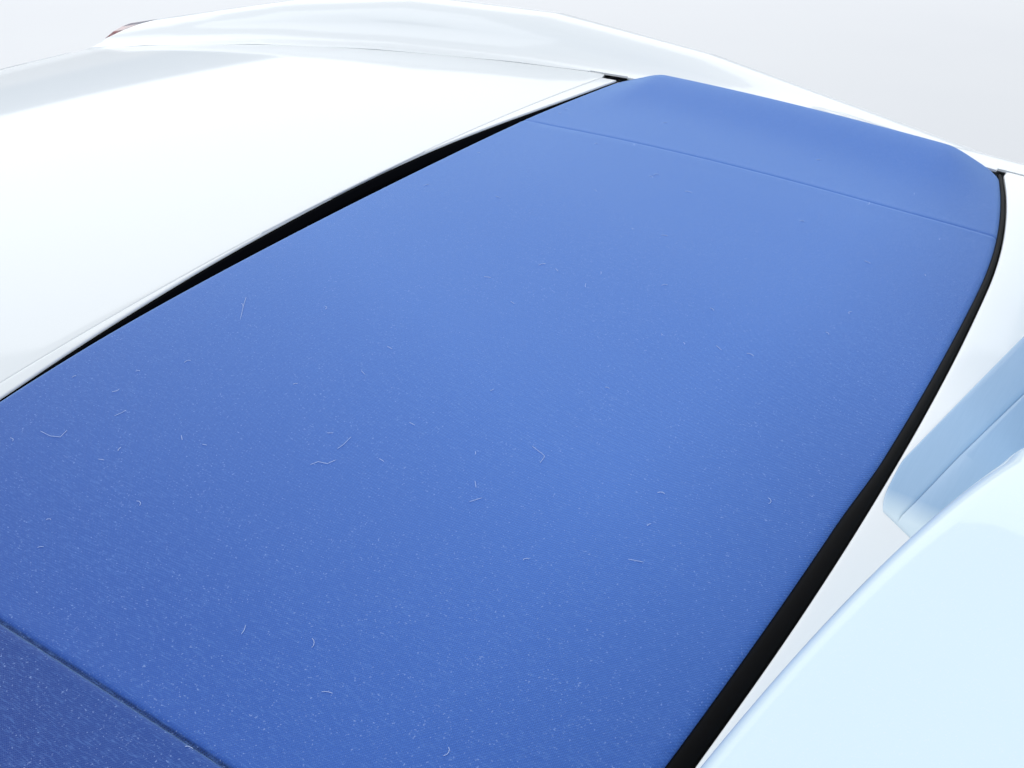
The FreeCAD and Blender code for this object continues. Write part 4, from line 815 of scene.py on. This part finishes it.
# Gap between the panel's front edge and the cowl: (y, gap).
COWL_LIP = ((-0.66, 0.0040), (-0.32, 0.0045), (-0.20, 0.0055), (-0.10, 0.0052), (0.08, 0.0038),
            (0.20, 0.0026), (0.30, 0.0012), (0.50, -0.0003), (0.66, -0.0003))

LID_REAR = (-1.788, -1.712, 0.628)
LID_FRONT = (-0.669, -0.634, 0.708)
LID_CORNER = 0.014
LID_ROLL = 0.0012
LID_UNDER = [(0.0, 0.004), (0.0, 0.0135), (0.006, 0.0150)]
LID_GRID_HALF, LID_COLUMNS, LID_ROWS = 0.70, 110, 90


def no_relief(x, y):
    """Relief of a plain panel."""
    return 0.0 * x


def make_header_seal():
    """Bulb seal along the front edge of the roof panel."""
    end = ROOF_FRONT[2] - SEAL_END
    y = np.linspace(-end, end, OUTLINE_STEPS)
    back = cloth_front(y) - SEAL_TUCK
    wide = edge_x(ROOF_FRONT, y) + along_table(COWL_LIP, y) - SEAL_SHORT - back
    rows = []
    for turn in np.linspace(0, math.pi, SEAL_ROWS):
        x = back + wide * (1 - math.cos(turn)) / 2
        z = deck_height(x, y) - SEAL_SINK - SEAL_ROUND * (1 - math.sin(turn) ** SEAL_FULLNESS)
        rows.append(np.column_stack([x, y, z]))
    for x in (back + wide, back):
        rows.append(np.column_stack([x, y, deck_height(x, y) - SEAL_FOOT]))
    rows.append(rows[0])
    seal = new_piece("header_seal_bulb", *loft(rows), "roof_panel", "black_rubber")
    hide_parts("header_seal")


def cowl_rear(y):
    """Rear edge of the cowl, along the panel's front edge and straight on beyond its corners."""
    away, half = np.abs(y), ROOF_FRONT[2]
    beside = np.where(away < half, edge_x(ROOF_FRONT, np.minimum(away, half)), ROOF_FRONT[1])
    return beside + along_table(COWL_LIP, y)


def make_cowl():
    """Painted cowl ahead of the stowed roof, its edges rolled down."""
    front = (lambda y: edge_x(COWL_FRONT, y), COWL_HALF)
    across = np.linspace(-COWL_GRID_HALF, COWL_GRID_HALF, COWL_COLUMNS)
    points, faces = rolled_panel((cowl_rear, COWL_HALF), front, COWL_CORNER, across,
                                 np.linspace(0, 1, COWL_ROWS), COWL_ROLL, COWL_UNDER, no_relief)
    # The cowl takes a lighter copy of the white paint, as painted light.
    cowl = new_piece("cowl_skin", points, faces, "deck", "white_paint", "lit_cowl_paint")
    thicken(cowl, SKIN_THICK)
    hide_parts("front_cowl")


def lid_front(y):
    """Front edge of the boot lid, straight on beyond its corners."""
    return edge_x(LID_FRONT, np.minimum(np.abs(y), LID_FRONT[2]))


def make_lid():
    """Boot lid skin, its edges rolled down over the inner frame."""
    rear = (lambda y: edge_x(LID_REAR, y), LID_REAR[2])
    across = np.linspace(-LID_GRID_HALF, LID_GRID_HALF, LID_COLUMNS)
    points, faces = rolled_panel(rear, (lid_front, LID_FRONT[2]), LID_CORNER, across,
                                 np.linspace(0, 1, LID_ROWS), LID_ROLL, LID_UNDER, no_relief)
    # The lid takes a darker copy of the white paint, as painted shade.
    lid = new_piece("boot_lid_skin", points, faces, "boot_lid", "white_paint", "shaded_lid_paint")
    thicken(lid, SKIN_THICK)
    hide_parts("lid_skin")


# Fixed filler between the stowed roof and the lid. It ends inside the lid's arms.
FILLER_HALF = 0.6855
FILLER_JOINT = 0.0006
FILLER_ROUND = 0.0018
FILLER_THICK = 0.0010
FILLER_COLUMNS = 320
FILLER_ROWS = 6
# Its rear edge up to the flat top: (distance ahead, drop). Then the drops of its front face.
FILLER_REAR_EDGE = ((0.0, 0.0035), (0.0, 0.0010), (0.0004, 0.0002))
FILLER_FLAT = 0.0010
FILLER_FACE = (0.0045, 0.0120)
# Section of the rubber lip under its front edge: (distance ahead, drop).
LIP_SECTION = ((-0.0040, 0.0180), (0.0003, 0.0160), (0.0006, 0.0022), (0.0012, 0.0024), (0.0018, 0.0050),
               (0.0040, 0.0110), (0.0060, 0.0160), (0.0050, 0.0240), (-0.0040, 0.0250), (-0.0040, 0.0180))
# Gap between the panel's rear edge and the filler: (y, gap).
FILLER_GAP = (
    (-0.71, 0.0030), (-0.45, 0.0025), (-0.30, 0.0025), (-0.26, 0.0060), (-0.225, 0.0082), (-0.19, 0.0102),
    (-0.105, 0.0135), (-0.05, 0.0160), (0.0, 0.0172), (0.09, 0.0187), (0.19, 0.0208), (0.26, 0.0203),
    (0.33, 0.0183), (0.40, 0.0140), (0.47, 0.0090), (0.54, 0.0040), (0.60, 0.0025), (0.71, 0.0025))


def make_filler():
    """Fixed filler strip behind the stowed roof, with a rubber lip under its front edge."""
    y = np.linspace(-FILLER_HALF, FILLER_HALF, FILLER_COLUMNS)
    front = edge_x(ROOF_REAR, np.minimum(np.abs(y), ROOF_REAR[2])) - along_table(FILLER_GAP, y)
    rear = lid_front(y) + FILLER_JOINT
    rows = [(rear + ahead, drop) for ahead, drop in FILLER_REAR_EDGE]
    rows += [(rear + FILLER_FLAT + (front - FILLER_ROUND - rear - FILLER_FLAT) * k, 0.0)
             for k in np.linspace(0, 1, FILLER_ROWS)]
    rows += [(front - FILLER_ROUND + FILLER_ROUND * math.sin(turn), FILLER_ROUND * (1 - math.cos(turn)))
             for turn in np.linspace(0, math.pi / 2, FILLER_ROWS)[1:]]
    rows += [(front, drop) for drop in FILLER_FACE]
    points, faces = loft([np.column_stack([x, y, deck_height(x, y) - drop]) for x, drop in rows])
    # The filler takes the lid's darker copy of the white paint, as painted shade.
    filler = new_piece("roof_rear_filler", points, faces, "deck", "white_paint", "shaded_lid_paint")
    thicken(filler, FILLER_THICK)
    lip = [(front + ahead, drop) for ahead, drop in LIP_SECTION]
    points, faces = loft([np.column_stack([x, y, deck_height(x, y) - drop]) for x, drop in lip])
    new_piece("roof_rear_lip", points, faces, "deck", "black_rubber")


# Hoop fairings, by the left one. Its rear face is turned, so that it stands back at its outer side.
# Sizes across are from the hoop's own centre.
HOOP_REAR = 0.0504
HOOP_FRONT = 0.240
HOOP_REACH = 0.30
HOOP_CENTRE = 0.330
HOOP_TOE = math.radians(10.1)
HOOP_OUTER = 0.262
HOOP_INNER = 0.272
HOOP_FOOT = 0.528
HOOP_TOP = 0.694
HOOP_CROWN = 0.022
HOOP_RIM = 0.0167
HOOP_THICK = 0.0035
HOOP_CLEAR = 0.0003
# Lean and shoulder radius of the outer and of the inner side.
LEAN_OUT, ROUND_OUT = 0.022, 0.125
LEAN_IN, ROUND_IN = 0.014, 0.066
# Points up a side, round a shoulder and over the top; rows up the rear face, round the rim and ahead.
SIDE_STEPS, SHOULDER_STEPS, TOP_STEPS = 8, 14, 26
FACE_ROWS, RIM_ROWS, LONG_ROWS = 9, 9, 22
# Points nearer than this are merged, and shorter edges removed.
MERGE_NEAR, SHORT_EDGE = 0.00005, 0.00002


def hoop_section(inwards):
    """Across and height of a hoop section from the outer foot over the top to the inner foot."""
    outer, inner, top = HOOP_OUTER - inwards, -(HOOP_INNER - inwards), HOOP_TOP - inwards
    line = [(outer + LEAN_OUT * (1 - k), HOOP_FOOT + (top - ROUND_OUT - HOOP_FOOT) * k)
            for k in np.linspace(0, 1, SIDE_STEPS)]
    line += [(outer - ROUND_OUT * (1 - math.cos(a)), top - ROUND_OUT * (1 - math.sin(a)))
             for a in np.linspace(0, math.pi / 2, SHOULDER_STEPS)[1:]]
    left, right = line[-1][0], inner + ROUND_IN
    line += [(left + (right - left) * k, top + HOOP_CROWN * 4 * k * (1 - k))
             for k in np.linspace(0, 1, TOP_STEPS)[1:-1]]
    line += [(inner + ROUND_IN * (1 - math.cos(a)), top - ROUND_IN * (1 - math.sin(a)))
             for a in np.linspace(math.pi / 2, 0, SHOULDER_STEPS)]
    line += [(inner - LEAN_IN * (1 - k), HOOP_FOOT + (top - ROUND_IN - HOOP_FOOT) * k)
             for k in np.linspace(1, 0, SIDE_STEPS)[1:]]
    return np.array(line)


def hoop_rows():
    """Rows of points of the left hoop from the foot of its rear face to its open front."""
    rows = []
    face = hoop_section(HOOP_RIM)
    for k in np.linspace(0, 1, FACE_ROWS):
        low = face.copy()
        low[:, 1] = HOOP_FOOT + (face[:, 1] - HOOP_FOOT) * k
        rows.append((0.0, low))
    for a in np.linspace(0, math.pi / 2, RIM_ROWS)[1:]:
        rows.append((HOOP_RIM * (1 - math.cos(a)), hoop_section(HOOP_RIM * (1 - math.sin(a)))))
    for ahead in np.linspace(HOOP_RIM, HOOP_REACH, LONG_ROWS)[1:]:
        rows.append((ahead, hoop_section(0.0)))
    placed = []
    for ahead, line in rows:
        x = HOOP_REAR + ahead * math.cos(HOOP_TOE) - line[:, 0] * math.sin(HOOP_TOE)
        y = HOOP_CENTRE + ahead * math.sin(HOOP_TOE) + line[:, 0] * math.cos(HOOP_TOE)
        z = np.maximum(line[:, 1], deck_height(x, y) + HOOP_CLEAR)
        placed.append(np.column_stack([np.minimum(x, HOOP_FRONT), y, z]))
    return placed


def make_hoops():
    """Painted hoop fairings, open at the front."""
    for side, sign in (("left", 1), ("right", -1)):
        points, faces = loft(hoop_rows(), flip=sign < 0)
        # The hoops take a copy of the white paint tinted blue, as a painted reflection.
        hoop = new_piece("hoop_" + side, points * [1, sign, 1], faces, "deck", "white_paint", "hoop_paint_blue_reflection")
        cleaned = bmesh.new()
        cleaned.from_mesh(hoop.data)
        bmesh.ops.remove_doubles(cleaned, verts=cleaned.verts, dist=MERGE_NEAR)
        bmesh.ops.dissolve_degenerate(cleaned, edges=cleaned.edges, dist=SHORT_EDGE)
        cleaned.to_mesh(hoop.data)
        cleaned.free()
        thicken(hoop, HOOP_THICK)
        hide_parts("fairing_" + side)


# Centre strip, from its rounded right end to its left end under the left hoop.
STRIP_RIGHT, STRIP_LEFT = -0.042, 0.300
STRIP_STEP = 0.0035
STRIP_UP = 0.0023
STRIP_THICK = 0.0008
# Station of its rear edge and of the fine joint along it: (y, x). The rear edge is then smoothed.
STRIP_REAR = ((-0.0420, 0.0135), (-0.0388, 0.0104), (-0.020, 0.0082), (0.0187, 0.0067), (0.2681, 0.0404),
              (0.300, 0.0470))
STRIP_JOINT = ((-0.0325, 0.0262), (0.172, 0.0625), (0.300, 0.085))
STRIP_PASSES = 6
# It ends at the cowl's front between the hoops, and on a slanting line under the left hoop.
MOUTH_HALF = 0.056
MOUTH_FRONT = 0.2365
UNDER_HOOP, UNDER_HOOP_SLANT = 0.062, 0.20
# Sections of its rear edge and of the joint: (distance ahead, height).
STRIP_ROUND = 0.0012
EDGE_SECTION = ((0.0, -STRIP_UP), (0.0, -0.0008), (0.0004, -0.0002), (STRIP_ROUND, 0.0))
JOINT_SECTION = ((-0.0004, -0.0004), (0.0, -0.0016), (0.0004, -0.0004), (STRIP_ROUND, 0.0))
# Rows behind the joint and ahead of it.
BACK_ROWS, AHEAD_ROWS = 9, 16
# The joint runs out at the right end, which slants to the right going forwards and is rounded down.
JOINT_START, JOINT_FADE = -0.040, 0.008
STRIP_SLANT = 0.62
SLANT_FROM, SLANT_REACH, SLANT_END = 0.0104, 0.06, 0.06
END_DROP, END_WIDE = 0.0021, 0.012


def make_strip():
    """Satin strip between the hoops, with a fine joint along it."""
    y = spaced(STRIP_RIGHT, STRIP_LEFT, STRIP_STEP)
    back = from_table(STRIP_REAR, y)
    for _ in range(STRIP_PASSES):
        back[1:-1] = (back[:-2] + 2 * back[1:-1] + back[2:]) / 4
    joint = from_table(STRIP_JOINT, y)
    open_joint = np.clip((y - JOINT_START) / JOINT_FADE, 0, 1)
    front = np.where(np.abs(y) < MOUTH_HALF, MOUTH_FRONT, UNDER_HOOP + (STRIP_LEFT - y) * UNDER_HOOP_SLANT)
    level = 0 * y
    rows = [(back + ahead, height + level) for ahead, height in EDGE_SECTION]
    rows += [(back + STRIP_ROUND + (joint - STRIP_ROUND - back - STRIP_ROUND) * k, level)
             for k in np.linspace(0, 1, BACK_ROWS)[1:]]
    rows += [(joint + ahead, height * open_joint) for ahead, height in JOINT_SECTION]
    rows += [(joint + STRIP_ROUND + (front - joint - STRIP_ROUND) * k, level)
             for k in np.linspace(0, 1, AHEAD_ROWS)[1:]]
    right_end = 1 - smooth_step(y, STRIP_RIGHT, SLANT_END)
    rounded = END_DROP * np.square(1 - np.clip((y - STRIP_RIGHT) / END_WIDE, 0, 1))
    placed = []
    for x, height in rows:
        aside = y - STRIP_SLANT * np.minimum(x - SLANT_FROM, SLANT_REACH) * right_end
        placed.append(np.column_stack([x, aside, deck_height(x, aside) + STRIP_UP + height - rounded]))
    strip = new_piece("centre_strip_skin", *loft(placed), "deck", "satin_strip")
    thicken(strip, STRIP_THICK)
    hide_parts("centre_strip")


# Smooth shading of the wings, whose solids have flat facets.
WING_SECTIONS = (
    # station, crest height, crest and flank positions
    (0.250, 0.462, 0.790, 0.872),
    (-0.300, 0.520, 0.796, 0.876),
    (-0.800, 0.570, 0.800, 0.880),
    (-1.300, 0.518, 0.780, 0.858),
    (-1.830, 0.392, 0.700, 0.772))
WING_STATIONS = 84
WING_STEPS = 14
# Distances in from the crest to the wing's start and to its valley, the run between, an added rise.
DECK_IN, VALLEY_IN, VALLEY_RUN = 0.200, 0.095, 0.105
VALLEY_RISE = 0.0005
# The flank's top is below the crest, and its foot farther out.
FLANK_DROP = 0.074
FLANK_OUT = 0.005
# A facet takes the smooth normal where the surface is this near and faces much the same way.
NEAR_SURFACE = 0.03
SAME_WAY = 0.8


def wing_row(x):
    """Section values at a station, by a smooth curve through the table."""
    total = np.zeros(3)
    for own in WING_SECTIONS:
        term = np.array(own[1:])
        for other in WING_SECTIONS:
            if other is not own:
                term *= (x - other[0]) / (own[0] - other[0])
        total += term
    return total


def unit(vector):
    """The vector at length 1."""
    return vector / np.linalg.norm(vector)


def end_tangent(start, tangent, end):
    """Direction at the end of the arc that leaves start along a tangent."""
    along = unit(end - start)
    return along * (2 * along @ tangent) - tangent


def two_arc_joint(start, tangent, end, end_way):
    """Point where two arcs meet that leave start and reach end along given directions."""
    v, t = end - start, tangent + end_way
    rest = 2 * (1 - tangent @ end_way)
    if rest < 1e-9:
        d = v @ v / (4 * v @ tangent)
    else:
        d = (-v @ t + math.sqrt((v @ t) ** 2 + rest * v @ v)) / rest
    return (start + end + (tangent - end_way) * d) / 2


def wing_line(x):
    """Points across the left wing's section: arcs that run smoothly into each other."""
    crest_z, y_crest, y_flank = wing_row(x)
    start = np.array([y_crest - DECK_IN, float(deck_height(x, y_crest - DECK_IN))])
    valley = np.array([y_crest - VALLEY_IN, float(deck_height(x, y_crest - VALLEY_IN))])
    slope = unit(np.array([VALLEY_RUN, valley[1] - start[1] + VALLEY_RISE]))
    crest, level = np.array([y_crest, crest_z]), np.array([1.0, 0.0])
    joint = two_arc_joint(valley, end_tangent(start, slope, valley), crest, level)
    flank = np.array([y_flank, crest_z - FLANK_DROP])
    knots = [start, valley, joint, crest, flank, np.array([y_flank + FLANK_OUT, 0.0])]
    tangent, line = slope, [start]
    for a, b in zip(knots, knots[1:]):
        chord = b - a
        angle = math.atan2(tangent[0] * chord[1] - tangent[1] * chord[0], tangent @ chord)
        for k in np.linspace(0, 1, WING_STEPS)[1:]:
            share = k if abs(angle) < 1e-6 else math.sin(k * angle) / math.sin(angle)
            turn = k * angle
            way = np.array([tangent[0] * math.cos(turn) - tangent[1] * math.sin(turn),
                            tangent[0] * math.sin(turn) + tangent[1] * math.cos(turn)])
            line.append(a + way * share * np.linalg.norm(chord))
        tangent = end_tangent(a, tangent, b)
    return np.array(line)


def wing_surface():
    """Search tree over the left wing's smooth surface, and its upward and outward normals."""
    xs = np.linspace(WING_SECTIONS[-1][0], WING_SECTIONS[0][0], WING_STATIONS)
    lines = np.array([wing_line(x) for x in xs])
    surface = np.concatenate([np.broadcast_to(xs[:, None, None], lines.shape[:2] + (1,)), lines], axis=2)
    normal = np.cross(np.gradient(surface, axis=0), np.gradient(surface, axis=1))
    normal /= np.linalg.norm(normal, axis=2)[..., None]
    normal *= np.sign(normal[..., 2:3] + normal[..., 1:2])
    tree = kdtree.KDTree(surface.shape[0] * surface.shape[1])
    for i, point in enumerate(surface.reshape(-1, 3)):
        tree.insert(point, i)
    tree.balance()
    return tree, normal.reshape(-1, 3)


def smooth_wings():
    """Copies of the wings with the smooth surface's own shading on their skins."""
    tree, normal = wing_surface()
    for side, sign in (("left", 1), ("right", -1)):
        mesh = NODES["rear_wing_" + side].data.copy()
        own = []
        for face in mesh.polygons:
            for index in face.vertices:
                at = mesh.vertices[index].co
                _, found, away = tree.find((at.x, at.y * sign, at.z))
                best = normal[found] * [1, sign, 1]
                facing = float(np.dot(best, face.normal))
                near = away < NEAR_SURFACE and abs(facing) > SAME_WAY
                own.append(Vector(best * math.copysign(1, facing)) if near else face.normal.copy())
        mesh.polygons.foreach_set("use_smooth", [True] * len(mesh.polygons))
        mesh.normals_split_custom_set(own)
        wing = add_object("wing_skin_" + side, mesh)
        mesh.materials.clear()
        mesh.materials.append(FINISH["white_paint"])
        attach(wing, "deck")
        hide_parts("rear_wing_" + side)


# Stage

FLOOR_HALF = 14.0
FLOOR_DROP = 0.002
# Lamps: name, place, size and power, all aimed at the deck.
LAMPS = (
    ("lamp_far", (-3.0, 4.2, 2.0), (8.0, 2.6), 78.0),
    ("lamp_front", (2.2, -2.4, 3.0), (2.4, 2.4), 34.0),
    ("lamp_rear", (-3.8, -0.6, 3.0), (2.4, 2.4), 32.0))
LAMP_AIM = Vector((-0.7, 0.0, 0.4))
# The sky from the horizon up: (height, colour).
SKY = ((0.0, (0.42, 0.50, 0.60, 1)), (0.7, (0.90, 0.93, 0.97, 1)))
SKY_STRENGTH = 0.90


def make_floor():
    """Pale floor just under the part."""
    low, half = CAD_BOX[0].z - FLOOR_DROP, FLOOR_HALF
    mesh = bpy.data.meshes.new("floor")
    mesh.from_pydata([(-half, -half, low), (half, -half, low), (half, half, low), (-half, half, low)], [],
                     [(0, 1, 2, 3)])
    floor = add_object("floor", mesh)
    pale = new_material("floor_pale", Roughness=0.9)
    mottle(pale, 1.5, 3.0, (0.74, 0.75, 0.77), (0.78, 0.79, 0.80))
    floor.data.materials.append(pale)


def make_lamps():
    """Soft area lamps."""
    for name, where, size, power in LAMPS:
        data = bpy.data.lights.new(name, "AREA")
        data.shape = "RECTANGLE"
        data.size, data.size_y = size
        data.energy = power
        lamp = add_object(name, data)
        lamp.location = where
        lamp.rotation_euler = (LAMP_AIM - lamp.location).to_track_quat("-Z", "Y").to_euler()


def make_sky():
    """Plain sky, paler towards its top."""
    world = bpy.data.worlds.new("sky")
    world.use_nodes = True
    generated = add_node(world, "ShaderNodeTexCoord").outputs["Generated"]
    ramp = add_node(world, "ShaderNodeValToRGB", {0: axes(world, generated)["Z"]})
    for element, (height, colour) in zip(ramp.color_ramp.elements, SKY):
        element.position = height
        element.color = colour
    background = world.node_tree.nodes["Background"]
    world.node_tree.links.new(ramp.outputs[0], background.inputs["Color"])
    background.inputs["Strength"].default_value = SKY_STRENGTH
    bpy.context.scene.world = world


def make_camera():
    """The photograph's camera."""
    data = bpy.data.cameras.new("camera")
    data.sensor_width = 36.0
    data.lens = FOCAL_PIXELS * data.sensor_width / PHOTO_WIDE
    data.clip_start = 0.02
    camera = add_object("camera", data)
    forward, right, up = camera_axes()
    turn = Matrix((right, up, -forward)).transposed()
    camera.matrix_world = Matrix.Translation(CAMERA_PLACE) @ turn.to_4x4()
    bpy.context.scene.camera = camera
    bpy.context.scene.view_settings.view_transform = "Standard"


make_camera()
make_floor()
make_lamps()
make_sky()
finish_nodes()
make_roof_cloth()
make_lint()
make_header_seal()
make_cowl()
make_lid()
make_hoops()
make_strip()
smooth_wings()
make_filler()
bpy.context.view_layer.update()
